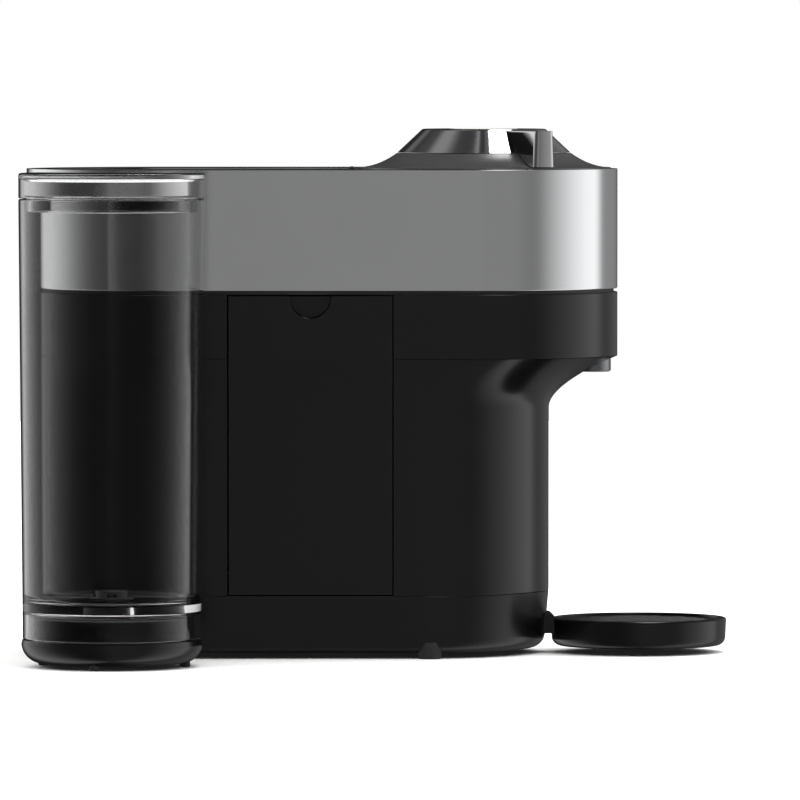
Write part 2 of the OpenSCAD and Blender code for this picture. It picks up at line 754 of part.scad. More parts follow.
module lock_ring() color("#3a3b3e") placed() at_brew() {
    ring(46, slot_r[0], 226, 228);
    for (i = [0:2]) {
        post = 120 * i + slot_start + 6;
        lug = 120 * i + 30;
        ring_piece([slot_r[0] + 0.4, slot_r[1] - 0.4], [post, post + 10], [227, knob_top - knob_wall]);
        ring_piece([43, 49.5], [lug, lug + 16], [223.9, 226]);
        ring_piece([43, 46], [lug, lug + 16], [225.5, 227]);
    }
}

module piercing_plate() color("#b8babc") placed() at_brew() difference() {
    union() {
        ring(29.4, 6.6, 224.2, 225.8);
        ring(10, 6.6, 225, 228.2);
        for (i = [0:19]) rotate(18 * i) translate([26, 0, 222.6]) cylinder(r1 = 0.3, r2 = 0.9, h = 1.8);
    }
    for (i = [0:5]) rotate(60 * i) translate([18, 0, 220]) cylinder(r = 2.2, h = 10);
}

// ---------- tank and its carrier ----------

module carrier_arm() {
    rotate(180 + tank_angle) block([20, tank_reach - 20], [-15, 15], [4, 12.6]);
}

module dish_feet_places() for (a = [0, 97, -97])
    rotate(180 + tank_angle + a) translate([dish_foot_ring, 0, 0]) children();

module tank_carrier() color("#141414") placed() difference() {
    union() {
        disc(swivel_r, 3.2, 12.6);
        carrier_arm();
        at_tank() rotate_extrude() polygon(concat(
            [[0, 1.8]],
            arc([dish_r - 9.4, 11.6], 9.8, -90, -4),
            [[dish_r, 13], [plinth_r + 0.3, 13]],
            arc([plinth_r - plinth_round, plinth_top - plinth_round], plinth_round, 0, 90),
            [[0, plinth_top]]
        ));
    }
    disc(hub_r + 0.4, 0, 20);
    at_tank() ring(11, 2.2, 17, 30);
    at_tank() disc(2.3, valve_pin_top, 30);
    at_tank() dish_feet_places() disc(2.6, 0, 4);
    for (a = [100, -100]) rotate(180 + tank_angle + a) translate([46, 0, 0]) disc(5, 0, 5);
}

module carrier_feet() color("#222222") placed() {
    at_tank() dish_feet_places() disc(2.6, 0, 4);
    for (a = [100, -100]) rotate(180 + tank_angle + a) translate([46, 0, 0]) disc(5, 0, 5);
}

module water_tank() color([0.75, 0.78, 0.8, 0.35]) placed() at_tank()
    rotate_extrude() polygon([
        [plinth_r + 1.1, skirt_low], [tank_foot_d / 2, skirt_low],
        [tank_d / 2, rim_low], [tank_d / 2, rim_top],
        [tank_d / 2 - tank_wall, rim_top], [tank_d / 2 - tank_wall, rim_low],
        [tank_foot_d / 2 - tank_wall + 0.1, tank_floor[1]],
        [8.6, tank_floor[1]], [8.6, tank_floor[0]], [plinth_r + 0.8, tank_floor[0]]
    ]);

module valve_seat() color("#dedfe0") placed() at_tank() difference() {
    union() {
        disc(8.6, 24.2, tank_floor[1]);
        disc(10.2, tank_floor[1], 31);
        disc(7.6, 30, 35.4);
    }
    disc(3.4, 24, 26.6);
    disc(6.6, 26.6, 34.2);
    for (a = [0, 90]) rotate(a) block([-12, 12], [-2.4, 2.4], [31, 34.2]);
}

module valve_plunger() color("#c0482c") placed() at_tank() {
    disc(2.8, 22.9, 27);
    disc(5.2, 26.9, 28.1);
}

module valve_spring() color("#c8c8c8") placed() at_tank() swept(helix(4.2, 28.6, 33.6, 4), 0.4, 6);

// Clear cap: a plate with an outer skirt, a groove for the bright ring and a plug that fits in the tank's rim
module tank_lid() color([0.7, 0.72, 0.74, 0.4]) placed() at_tank()
    rotate_extrude() polygon([
        [0, lid_under], [36.6, lid_under], [36.6, 218.6], [37.8, 218.6], [37.8, plug_low], [40, plug_low],
        [40, 219.3], [bright_ring_r[0] - 0.2, 219.3], [bright_ring_r[0] - 0.2, lid_under],
        [bright_ring_r[1] + 0.3, lid_under], [bright_ring_r[1] + 0.3, lid_skirt_low],
        [tank_d / 2, lid_skirt_low], [tank_d / 2, lid_top], [0, lid_top]
    ]);

module tank_lid_ring() color("#d2d4d6") placed() at_tank()
    rotate_extrude() polygon([
        [bright_ring_r[0], 219.6], [bright_ring_r[1], 219.6], [bright_ring_r[1], 224.7],
        [bright_ring_r[0] + 0.7, 227.1], [bright_ring_r[0], 227.1]
    ]);

// ---------- nodes ----------

base_shell();
base_feet();
swivel_hub();
body_shell();
neck_cove();
head_shell();
chassis_plate();
mid_frame();
band();
deck();
hinge_bracket();
hinge_pin();
bearing_housing();
rotor_bearings();
motor_can();
motor_magnets();
coffee_collector();
chamber_ring();
barcode_reader();
capsule_chute();
lid_switch();
power_board();
control_board();
pump_body();
pump_mounts();
flow_meter();
thermoblock();
cable_gland();
water_tubes();
bin_bay();
spout();
case_screws();
lid_shell();
lid_plate();
injector();
lid_seal();
button_spring();
knob();
lever();
lock_ring();
light_ring();
brew_button();
piercing_plate();
capsule_cup();
drive_shaft();
motor_core();
eject_fork();
tank_carrier();
carrier_feet();
water_tank();
valve_seat();
valve_spring();
valve_plunger();
tank_lid();
tank_lid_ring();
capsule_bin();
drip_tray();
drip_grid();
pump_plunger();
flow_wheel();
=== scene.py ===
"""Looks of a slim pod coffee machine with a clear tank that swings round its rear.

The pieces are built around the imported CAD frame. Shapes are worked out in millimetres in the frame's own
axes and turned to metres when a mesh is made. The front points along +X, the tank stands on the -Y side and
the table is at z = 0.
"""

import json
import math

import bmesh
import bpy
from mathutils import Matrix, Vector


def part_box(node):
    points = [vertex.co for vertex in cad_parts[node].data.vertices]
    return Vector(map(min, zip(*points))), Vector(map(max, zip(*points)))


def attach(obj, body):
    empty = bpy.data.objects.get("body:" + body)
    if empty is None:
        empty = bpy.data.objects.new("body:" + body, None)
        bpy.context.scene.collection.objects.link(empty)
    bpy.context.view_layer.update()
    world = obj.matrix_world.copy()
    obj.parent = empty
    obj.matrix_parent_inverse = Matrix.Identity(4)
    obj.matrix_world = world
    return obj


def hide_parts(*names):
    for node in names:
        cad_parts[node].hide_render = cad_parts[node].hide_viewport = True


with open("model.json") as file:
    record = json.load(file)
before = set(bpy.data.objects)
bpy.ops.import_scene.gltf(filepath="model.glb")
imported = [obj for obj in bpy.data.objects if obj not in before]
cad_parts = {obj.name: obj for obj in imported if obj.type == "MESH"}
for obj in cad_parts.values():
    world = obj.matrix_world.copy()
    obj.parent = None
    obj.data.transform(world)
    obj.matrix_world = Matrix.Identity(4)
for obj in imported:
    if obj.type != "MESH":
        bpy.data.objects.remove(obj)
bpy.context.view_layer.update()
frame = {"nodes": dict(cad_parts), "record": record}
MM = 0.001


# ---------- places taken from the frame ----------

def box_mm(node):
    """Lowest and highest corner of a CAD node, in millimetres."""
    low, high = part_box(node)
    return low / MM, high / MM


def middle(node):
    low, high = box_mm(node)
    return (low + high) / 2


def stadium_of(node):
    """Half width and the x of the rear and the front round ends of a stadium-shaped node."""
    low, high = box_mm(node)
    radius = (high.y - low.y) / 2
    return radius, low.x + radius, high.x - radius


HEAD = stadium_of("head_shell")
LOWER = stadium_of("body_shell")
MID_Y = middle("head_shell").y
BREW = middle("knob")
TANK = middle("water_tank")
STAND = middle("drip_grid")
SEAM_BASE = box_mm("body_shell")[0].z
COVE = (box_mm("neck_cove")[0].z, box_mm("neck_cove")[1].z)
HEAD_TOP = box_mm("head_shell")[1].z
BAND_LOW, DECK_TOP = box_mm("band")[0].z, box_mm("band")[1].z
BIN = box_mm("capsule_bin")
COVE_POWER = 1.75    # how late the cove swings out towards the head
WALL = 2.4           # wall of the lower body and of the head
PANEL_GAP = 0.5      # gap round the bin's panel
SPOUT_R = 9.2        # outer radius of the spout
KNOB_R = (box_mm("knob")[1].x - box_mm("knob")[0].x) / 2
KNOB_LOW, KNOB_TOP = box_mm("knob")[0].z, box_mm("knob")[1].z
KNOB_FLAT_R = 29.7   # flat top of the knob
LID_R = 60.5         # rim of the lid
LID_FOOT = 229.2     # underside of the lid's rim
LID_EDGE = 231.4     # where the rim turns into the flare
THROUGH = (220, 240)  # heights between which a cutter goes right through the deck
MERGE = 0.002 * MM   # points closer than this become one
SLIVER = 1e-7        # edges shorter than this, in metres, are dissolved
LEVEL = 0.9999       # a face whose normal is this close to vertical is shaded flat


# ---------- shape helpers ----------

def fillet(points, radii, steps=5):
    """A closed outline with its corners rounded: one radius for each corner, 0 keeps it sharp."""
    out = []
    for i, (corner, radius) in enumerate(zip(points, radii)):
        here = Vector(corner)
        back = Vector(points[i - 1]) - here
        on = Vector(points[(i + 1) % len(points)]) - here
        if radius <= 0:
            out.append(tuple(here))
            continue
        half = back.angle(on) / 2
        reach = min(radius / math.tan(half), 0.49 * back.length, 0.49 * on.length)
        radius = reach * math.tan(half)
        start, end = here + back.normalized() * reach, here + on.normalized() * reach
        centre = here + (back.normalized() + on.normalized()).normalized() * (radius / math.sin(half))
        first, last = start - centre, end - centre
        turn = first.angle(last)
        sign = 1 if first.x * last.y - first.y * last.x > 0 else -1
        for k in range(steps + 1):
            angle = sign * turn * k / steps
            c, s = math.cos(angle), math.sin(angle)
            out.append((centre.x + first.x * c - first.y * s, centre.y + first.x * s + first.y * c))
    return out


def round_stations(steps=96):
    """Stations of a full turn: a loft through them is a turned part."""
    return [("front", 360 * i / steps) for i in range(steps)]


def stadium_stations(steps=40, opening=None):
    """Stations round a stadium, anticlockwise from above.

    An opening (x from, x to) leaves a gap in the -Y side.
    """
    front = [("front", -90 + 180 * i / steps) for i in range(steps + 1)]
    rear = [("rear", 90 + 180 * i / steps) for i in range(steps + 1)]
    if opening is None:
        return front + rear
    return [("side", opening[1])] + front + rear + [("side", opening[0])]


def station_point(station, ring, mid_y):
    """Where a station lies on a ring (radius, rear x, front x, z)."""
    radius, rear, front, z = ring
    kind, value = station
    if kind == "side":
        return value, mid_y - radius, z
    angle = math.radians(value)
    x = front if kind == "front" else rear
    return x + radius * math.cos(angle), mid_y + radius * math.sin(angle), z


def loft(rings, stations, mid_y, shut_path=True, shut_profile=True):
    """Points and faces of a wall whose profile is a list of rings and whose path is a list of stations."""
    points = [station_point(s, r, mid_y) for r in rings for s in stations]
    n, m = len(rings), len(stations)
    faces = []
    for i in range(n if shut_profile else n - 1):
        for k in range(m if shut_path else m - 1):
            a, b = i * m + k, i * m + (k + 1) % m
            c, d = (i + 1) % n * m + (k + 1) % m, (i + 1) % n * m + k
            faces.append((a, b, c, d))
    if not shut_path:
        faces.append([i * m for i in range(n)])
        faces.append([i * m + m - 1 for i in reversed(range(n))])
    return points, faces


def mesh_object(name, points, faces):
    """A merged, outward-facing mesh, its points given in millimetres."""
    mesh = bpy.data.meshes.new(name)
    mesh.from_pydata([Vector(p) * MM for p in points], [], [list(f) for f in faces])
    tidy_mesh(mesh)
    obj = bpy.data.objects.new(name, mesh)
    bpy.context.scene.collection.objects.link(obj)
    return obj


def tidy_mesh(mesh):
    """Merges doubles, drops slivers and turns the faces outward."""
    work = bmesh.new()
    work.from_mesh(mesh)
    bmesh.ops.remove_doubles(work, verts=work.verts, dist=MERGE)
    bmesh.ops.dissolve_degenerate(work, edges=work.edges, dist=SLIVER)
    bmesh.ops.recalc_face_normals(work, faces=work.faces)
    work.to_mesh(mesh)
    work.free()


def turned(name, profile, centre, steps=96):
    """A turned solid: a closed outline of (radius, z) round a vertical axis."""
    rings = [(max(r, 0), centre.x, centre.x, z) for r, z in profile]
    points, faces = loft(rings, round_stations(steps), centre.y)
    return mesh_object(name, points, faces)


def stadium_wall(name, size, profile, opening=None, steps=40):
    """A closed outline of (radius, z) swept round the rear and front centres of size."""
    rings = [(max(r, 0), size[1], size[2], z) for r, z in profile]
    stations = stadium_stations(steps, opening)
    points, faces = loft(rings, stations, MID_Y, shut_path=opening is None)
    return mesh_object(name, points, faces)


def section(inner, outer, low, high):
    """Four-cornered profile between two radii and two heights."""
    return [(inner, low), (outer, low), (outer, high), (inner, high)]


def extruded(name, outline, place, low, high):
    """A closed outline drawn out between two levels; place makes a point of (u, v, level)."""
    n = len(outline)
    points = [place(u, v, level) for level in (low, high) for u, v in outline]
    faces = [list(reversed(range(n))), [n + i for i in range(n)]]
    faces += [(i, (i + 1) % n, n + (i + 1) % n, n + i) for i in range(n)]
    return mesh_object(name, points, faces)


def slab(name, outline, low, high):
    """An upright slab: a closed outline of (x, y) between two heights."""
    return extruded(name, outline, lambda x, y, z: (x, y, z), low, high)


def prism_x(name, outline, low, high):
    """A solid along X: a closed outline of (y, z) between two x."""
    return extruded(name, outline, lambda y, z, x: (x, y, z), low, high)


def prism_y(name, outline, low, high):
    """A solid along Y: a closed outline of (x, z) between two y."""
    return extruded(name, outline, lambda x, z, y: (x, y, z), low, high)


def brick(name, low, high):
    """A plain cutter from its lowest to its highest corner."""
    return slab(name, section(low[0], high[0], low[1], high[1]), low[2], high[2])


def arc(centre, radius, start, end, steps=8):
    """Points on an arc between two angles in degrees."""
    turn = [math.radians(start + (end - start) * i / steps) for i in range(steps + 1)]
    return [(centre[0] + radius * math.cos(a), centre[1] + radius * math.sin(a)) for a in turn]


def stand_at(obj, centre, heading):
    """Turns obj about the z axis and stands it at a centre."""
    place = Matrix.Translation(Vector((centre.x, centre.y, 0)) * MM)
    obj.data.transform(place @ Matrix.Rotation(heading, 4, "Z"))


def baked(obj):
    """obj with its modifiers turned into plain mesh."""
    bpy.context.view_layer.update()
    graph = bpy.context.evaluated_depsgraph_get()
    mesh = bpy.data.meshes.new_from_object(obj.evaluated_get(graph))
    obj.modifiers.clear()
    obj.data = mesh
    return obj


def combine(obj, others, operation="DIFFERENCE"):
    """Cuts the others out of obj, or joins them to it, as one closed mesh."""
    for other in others:
        step = obj.modifiers.new("step", "BOOLEAN")
        step.operation, step.solver, step.object = operation, "EXACT", other
        baked(obj)
        bpy.data.objects.remove(other)
    tidy_mesh(obj.data)


def soften(obj, width_mm, segments=3, angle=40):
    """Rounded edges, as a mould leaves them."""
    step = obj.modifiers.new("soft_edges", "BEVEL")
    step.width, step.segments, step.limit_method = width_mm * MM, segments, "ANGLE"
    step.angle_limit = math.radians(angle)
    step.harden_normals = False
    baked(obj)
    return obj


def finish_piece(obj, body, material, replaced, angle):
    """Smooth shading that keeps hard edges, the material and the body it rides on; the CAD nodes it replaces
    are hidden.
    """
    for polygon in obj.data.polygons:
        polygon.use_smooth = abs(polygon.normal.z) < LEVEL
    obj.data.set_sharp_from_angle(angle=math.radians(angle))
    flatten = obj.modifiers.new("flat_faces_stay_flat", "WEIGHTED_NORMAL")
    flatten.keep_sharp = True
    baked(obj)
    obj.data.materials.clear()
    obj.data.materials.append(material)
    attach(obj, body)
    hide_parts(*replaced)


# ---------- node helpers ----------

def add(tree, kind, settings=None, **inputs):
    """Adds a node. settings are its properties; inputs are its sockets by name, set or linked."""
    made = tree.nodes.new(kind)
    for key, value in (settings or {}).items():
        setattr(made, key, value)
    for key, value in inputs.items():
        socket = made.inputs[int(key[1:])] if key[0] == "_" else made.inputs[key.replace("_", " ")]
        if isinstance(value, bpy.types.NodeSocket):
            tree.links.new(value, socket)
        else:
            socket.default_value = value
    return made


def linear(hex_colour):
    """An sRGB hex colour as linear red, green, blue and alpha."""
    parts = [int(hex_colour[i:i + 2], 16) / 255 for i in (1, 3, 5)]
    return [c / 12.92 if c <= 0.04045 else ((c + 0.055) / 1.055) ** 2.4 for c in parts] + [1.0]


def per_mm(size_mm):
    """Texture scale whose pattern repeats about every size_mm on Object coordinates in metres."""
    return 1 / (size_mm * MM)


def surface(name, colour, shade, roughness, grain_mm, grain_depth_mm, blotch_mm, spread, stretch=(1, 1, 1),
            **shader):
    """A moulded, cast or plated surface: broad blotches in colour and gloss over a fine grain in relief.

    shade is the colour of the blotches, spread is how far they move the roughness either way and stretch
    draws the grain out along an axis. What is left goes to the shader's own sockets.
    """
    material = bpy.data.materials.new(name)
    material.use_nodes = True
    tree = material.node_tree
    tree.nodes.clear()
    place = add(tree, "ShaderNodeTexCoord").outputs["Object"]
    along = add(tree, "ShaderNodeMapping", Vector=place, Scale=stretch).outputs["Vector"]
    blotch = add(tree, "ShaderNodeTexNoise", Vector=place, Scale=per_mm(blotch_mm), Detail=4.0, Roughness=0.6)
    grain = add(tree, "ShaderNodeTexNoise", Vector=along, Scale=per_mm(grain_mm), Detail=3.0, Roughness=0.7)
    tint = add(tree, "ShaderNodeMixRGB", Fac=blotch.outputs["Fac"], Color1=linear(colour),
               Color2=linear(shade))
    both = add(tree, "ShaderNodeMath", {"operation": "MULTIPLY_ADD"}, _0=grain.outputs["Fac"], _1=0.35,
               _2=blotch.outputs["Fac"])
    gloss = add(tree, "ShaderNodeMapRange", Value=both.outputs[0], From_Min=0.35, From_Max=1.0,
                To_Min=max(roughness - spread, 0.01), To_Max=roughness + spread)
    relief = add(tree, "ShaderNodeBump", Strength=1.0, Distance=grain_depth_mm * MM,
                 Height=grain.outputs["Fac"])
    skin = add(tree, "ShaderNodeBsdfPrincipled", Base_Color=tint.outputs["Color"],
               Roughness=gloss.outputs[0], Normal=relief.outputs["Normal"])
    for key, value in shader.items():
        skin.inputs[key.replace("_", " ")].default_value = value
    add(tree, "ShaderNodeOutputMaterial", Surface=skin.outputs[0])
    return material


# ---------- materials ----------

# Silver-grey metallic lacquer sprayed on ABS: aluminium flakes give a soft sheen with a faint sparkle.
# Real flakes are 0.03 mm across; they are drawn at 0.5 mm so that the sparkle shows.
def metallic_lacquer():
    return surface("silver_metallic_lacquer", "#ecedee", "#e8e9ea", 0.14, 0.6, 0.0005, 60, 0.015,
                   Metallic=1.0)


# Black ABS moulded in a spark-eroded tool: an even, fine leather-like grain that spreads the light.
# The real grain is 0.15 mm; it is drawn at 0.6 mm so that it shows.
def textured_abs():
    return surface("black_textured_abs", "#050506", "#080809", 0.2, 0.6, 0.0014, 50, 0.03, IOR=1.5)


# The same black ABS on the parts that meet the table, a little duller and dustier.
def dull_abs():
    return surface("black_dull_abs", "#050506", "#090909", 0.24, 0.7, 0.002, 30, 0.04, IOR=1.5)


# Dark grey metallic lacquer on the lid, smoother than the band, so that the flare carries a soft highlight.
def dark_lacquer():
    return surface("dark_grey_metallic_lacquer", "#6a6a6b", "#646465", 0.24, 0.5, 0.0008, 40, 0.03,
                   Metallic=0.8)


# Bright chrome plated on polished ABS: a mirror with the slight waviness of the moulding under it.
def chrome_plate():
    return surface("bright_chrome_plate", "#d7d7d8", "#cfcfd0", 0.05, 9.0, 0.004, 30, 0.02, Metallic=1.0)


# Chrome on the tank's ring, seen through the clear cap.
def ring_chrome():
    return surface("tank_ring_chrome", "#e6e6e6", "#dddddd", 0.1, 6.0, 0.003, 20, 0.02, Metallic=1.0)


# Polished black button: high-gloss ABS with faint finger smears.
def gloss_abs():
    return surface("black_gloss_abs", "#08080a", "#0d0d0f", 0.12, 5.0, 0.001, 12, 0.06, IOR=1.53)


# Frosted diffuser of the light ring: milky polycarbonate, unlit.
def frosted_pc():
    return surface("frosted_polycarbonate", "#e2e2dc", "#d5d5cf", 0.45, 0.4, 0.003, 8, 0.05, IOR=1.58)


# Black EPDM feet: matt, slightly grey where they have rubbed on the table.
def epdm_rubber():
    return surface("black_epdm_rubber", "#17171a", "#252526", 0.78, 0.5, 0.02, 6, 0.1, IOR=1.52)


# Red-brown silicone seal: soft sheen with bloom.
def red_silicone():
    return surface("red_silicone", "#6b261c", "#7a3226", 0.55, 0.5, 0.008, 8, 0.08, IOR=1.41)


# Natural silicone hose: milky, with light scattered under its skin.
def hose_silicone():
    return surface("natural_silicone", "#d9d9d2", "#c9c9c0", 0.4, 1.2, 0.004, 10, 0.06, IOR=1.41,
                   Subsurface_Weight=0.15)


# Glass-filled PBT of the inner mouldings: grey-black with pale fibre streaks that follow the flow.
def filled_pbt():
    return surface("black_glass_filled_pbt", "#161617", "#232325", 0.5, 0.5, 0.012, 14, 0.08,
                   (1, 1, 0.25), IOR=1.57)


# Natural nylon of the pump and the flow meter: cream, waxy.
def natural_nylon():
    return surface("natural_nylon", "#cfc8b4", "#bcb49d", 0.42, 0.6, 0.008, 12, 0.07, IOR=1.53,
                   Subsurface_Weight=0.08)


# Ground and drawn steel: fine lines along the drawing direction.
def drawn_steel():
    return surface("drawn_steel", "#b4b6b9", "#a2a4a7", 0.24, 0.4, 0.003, 10, 0.08, (1, 1, 0.08),
                   Metallic=1.0)


# Satin pressed stainless steel of the spout and the piercing plate.
def pressed_steel():
    return surface("satin_stainless_steel", "#98999b", "#858688", 0.3, 0.5, 0.003, 9, 0.08,
                   (1, 1, 0.12), Metallic=1.0)


# Zinc-plated can of the motor: bluish, with a soft spangle.
def zinc_can():
    return surface("zinc_plated_steel", "#9a9da0", "#84888c", 0.34, 3.0, 0.003, 9, 0.1, Metallic=1.0)


# Sintered ferrite: dark grey, dull and slightly granular.
def ferrite():
    return surface("sintered_ferrite", "#2c2d30", "#3a3b3e", 0.7, 0.5, 0.02, 6, 0.1, IOR=1.6)


# As-cast aluminium of the heater block: pale, rough from the die.
def cast_aluminium():
    return surface("cast_aluminium", "#a9abad", "#8f9193", 0.46, 0.9, 0.03, 12, 0.1, Metallic=1.0)


# Enamelled copper wire of the motor core: glossy red-brown, wound in close turns.
def enamelled_copper():
    return surface("enamelled_copper", "#9a4f22", "#7d3c18", 0.25, 0.5, 0.06, 6, 0.06,
                   (0.02, 0.02, 1), Metallic=0.9)


# Orange-red acetal of the flow meter's wheel: plain and waxy.
def red_acetal():
    return surface("red_acetal", "#b8321f", "#a02a1a", 0.38, 0.6, 0.004, 8, 0.06, IOR=1.48)


# Dark red reader window: polished polycarbonate that passes infra-red light.
def reader_window():
    return surface("dark_red_polycarbonate", "#3a0806", "#2c0504", 0.1, 4.0, 0.001, 6, 0.04, IOR=1.58)


# Green solder mask over copper tracks, which stand out by their thickness.
def circuit_board():
    material = surface("green_solder_mask", "#1c5433", "#17492b", 0.32, 0.5, 0.004, 9, 0.08, IOR=1.55)
    tree = material.node_tree
    skin = next(n for n in tree.nodes if n.type == "BSDF_PRINCIPLED")
    place = add(tree, "ShaderNodeTexCoord").outputs["Object"]
    tracks = add(tree, "ShaderNodeTexBrick", {"offset": 0.37, "squash": 1.6}, Vector=place,
                 Scale=per_mm(18), Color1=linear("#1c5433"), Color2=linear("#1f5d39"),
                 Mortar=linear("#3b7d4e"), Mortar_Size=0.035)
    tree.links.new(tracks.outputs["Color"], skin.inputs["Base Color"])
    return material


# Clear copolyester of the tank, blow-moulded and polished: a faint grey tint, and long soft waves down
# the wall.
def clear_copolyester():
    material = bpy.data.materials.new("clear_copolyester")
    material.use_nodes = True
    tree = material.node_tree
    tree.nodes.clear()
    place = add(tree, "ShaderNodeTexCoord").outputs["Object"]
    along = add(tree, "ShaderNodeMapping", Vector=place, Scale=(1, 1, 0.12)).outputs["Vector"]
    wave = add(tree, "ShaderNodeTexNoise", Vector=along, Scale=per_mm(22), Detail=2.0)
    smear = add(tree, "ShaderNodeTexNoise", Vector=place, Scale=per_mm(14), Detail=5.0, Roughness=0.65)
    gloss = add(tree, "ShaderNodeMapRange", Value=smear.outputs["Fac"], From_Min=0.3, From_Max=0.8,
                To_Min=0.0, To_Max=0.012)
    tint = add(tree, "ShaderNodeMixRGB", Fac=smear.outputs["Fac"], Color1=linear("#e9e9e9"),
               Color2=linear("#e3e3e3"))
    relief = add(tree, "ShaderNodeBump", Strength=0.5, Distance=0.02 * MM, Height=wave.outputs["Fac"])
    skin = add(tree, "ShaderNodeBsdfPrincipled", Base_Color=tint.outputs["Color"],
               Roughness=gloss.outputs[0], Normal=relief.outputs["Normal"], IOR=1.54,
               Transmission_Weight=1.0, Specular_Tint=linear("#6a6a6a"))
    add(tree, "ShaderNodeOutputMaterial", Surface=skin.outputs[0])
    return material


MATERIALS = {
    "band_paint": metallic_lacquer(), "body_plastic": textured_abs(), "base_plastic": dull_abs(),
    "inner_plastic": filled_pbt(), "lid_plastic": dark_lacquer(), "knob_chrome": chrome_plate(),
    "ring_chrome": ring_chrome(), "button_gloss": gloss_abs(), "light_white": frosted_pc(),
    "tank_clear": clear_copolyester(), "foot_rubber": epdm_rubber(), "seal_rubber": red_silicone(),
    "tube_silicone": hose_silicone(), "pin_steel": drawn_steel(), "spout_steel": pressed_steel(),
    "motor_steel": zinc_can(), "magnet_iron": ferrite(), "winding_copper": enamelled_copper(),
    "block_aluminium": cast_aluminium(), "pump_plastic": natural_nylon(), "wheel_red": red_acetal(),
    "reader_window": reader_window(), "board_green": circuit_board(),
}
SLOT_OF = {s["node"]: s["material_slot"] for s in frame["record"]["subparts"]}
BODY_OF = {n: b for b, members in frame["record"]["behaviour"]["bodies"].items() for n in members}


def stands_for(obj, *nodes, angle=32):
    """Finishes a piece that takes the place of CAD nodes, with the first one's body and material."""
    slot = SLOT_OF[nodes[0]]
    finish_piece(obj, BODY_OF[nodes[0]], MATERIALS[slot], nodes, angle)


for node, cad in frame["nodes"].items():
    cad.data.materials.clear()
    cad.data.materials.append(MATERIALS[SLOT_OF[node]])


# ---------- repeated and swept parts, by Geometry Nodes ----------

def new_tree(name, inputs):
    """A Geometry Nodes tree with named inputs: (name, socket type, default)."""
    tree = bpy.data.node_groups.new(name, "GeometryNodeTree")
    tree.interface.new_socket("Geometry", in_out="INPUT", socket_type="NodeSocketGeometry")
    for label, kind, value in inputs:
        socket = tree.interface.new_socket(label, in_out="INPUT", socket_type=kind)
        if value is not None:
            socket.default_value = value
    tree.interface.new_socket("Geometry", in_out="OUTPUT", socket_type="NodeSocketGeometry")
    return tree


def close_tree(tree, geometry, source):
    """The end of every tree: real mesh, smooth, with its material."""
    real = add(tree, "GeometryNodeRealizeInstances", Geometry=geometry)
    made = add(tree, "GeometryNodeSetMaterial", Geometry=real.outputs[0], Material=source["Material"])
    add(tree, "NodeGroupOutput", Geometry=made.outputs[0])
    return tree


FLOAT, WHOLE, PLACE, STUFF = "NodeSocketFloat", "NodeSocketInt", "NodeSocketVector", "NodeSocketMaterial"


def ring_of_pins():
    """Cones or rods spaced evenly on a circle about the z axis."""
    tree = new_tree("ring_of_pins", [
        ("Count", WHOLE, 12), ("Ring Radius", FLOAT, 0.01), ("Root Radius", FLOAT, 0.001),
        ("Tip Radius", FLOAT, 0.0005), ("Length", FLOAT, 0.01), ("Centre", PLACE, (0, 0, 0)),
        ("Material", STUFF, None)])
    source = add(tree, "NodeGroupInput").outputs
    circle = add(tree, "GeometryNodeMeshCircle", Vertices=source["Count"], Radius=source["Ring Radius"])
    cone = add(tree, "GeometryNodeMeshCone", {"fill_type": "NGON"}, Vertices=14,
               Radius_Top=source["Tip Radius"], Radius_Bottom=source["Root Radius"], Depth=source["Length"])
    pins = add(tree, "GeometryNodeInstanceOnPoints", Points=circle.outputs["Mesh"],
               Instance=cone.outputs["Mesh"])
    moved = add(tree, "GeometryNodeTransform", Geometry=pins.outputs[0], Translation=source["Centre"])
    return close_tree(tree, moved.outputs[0], source)


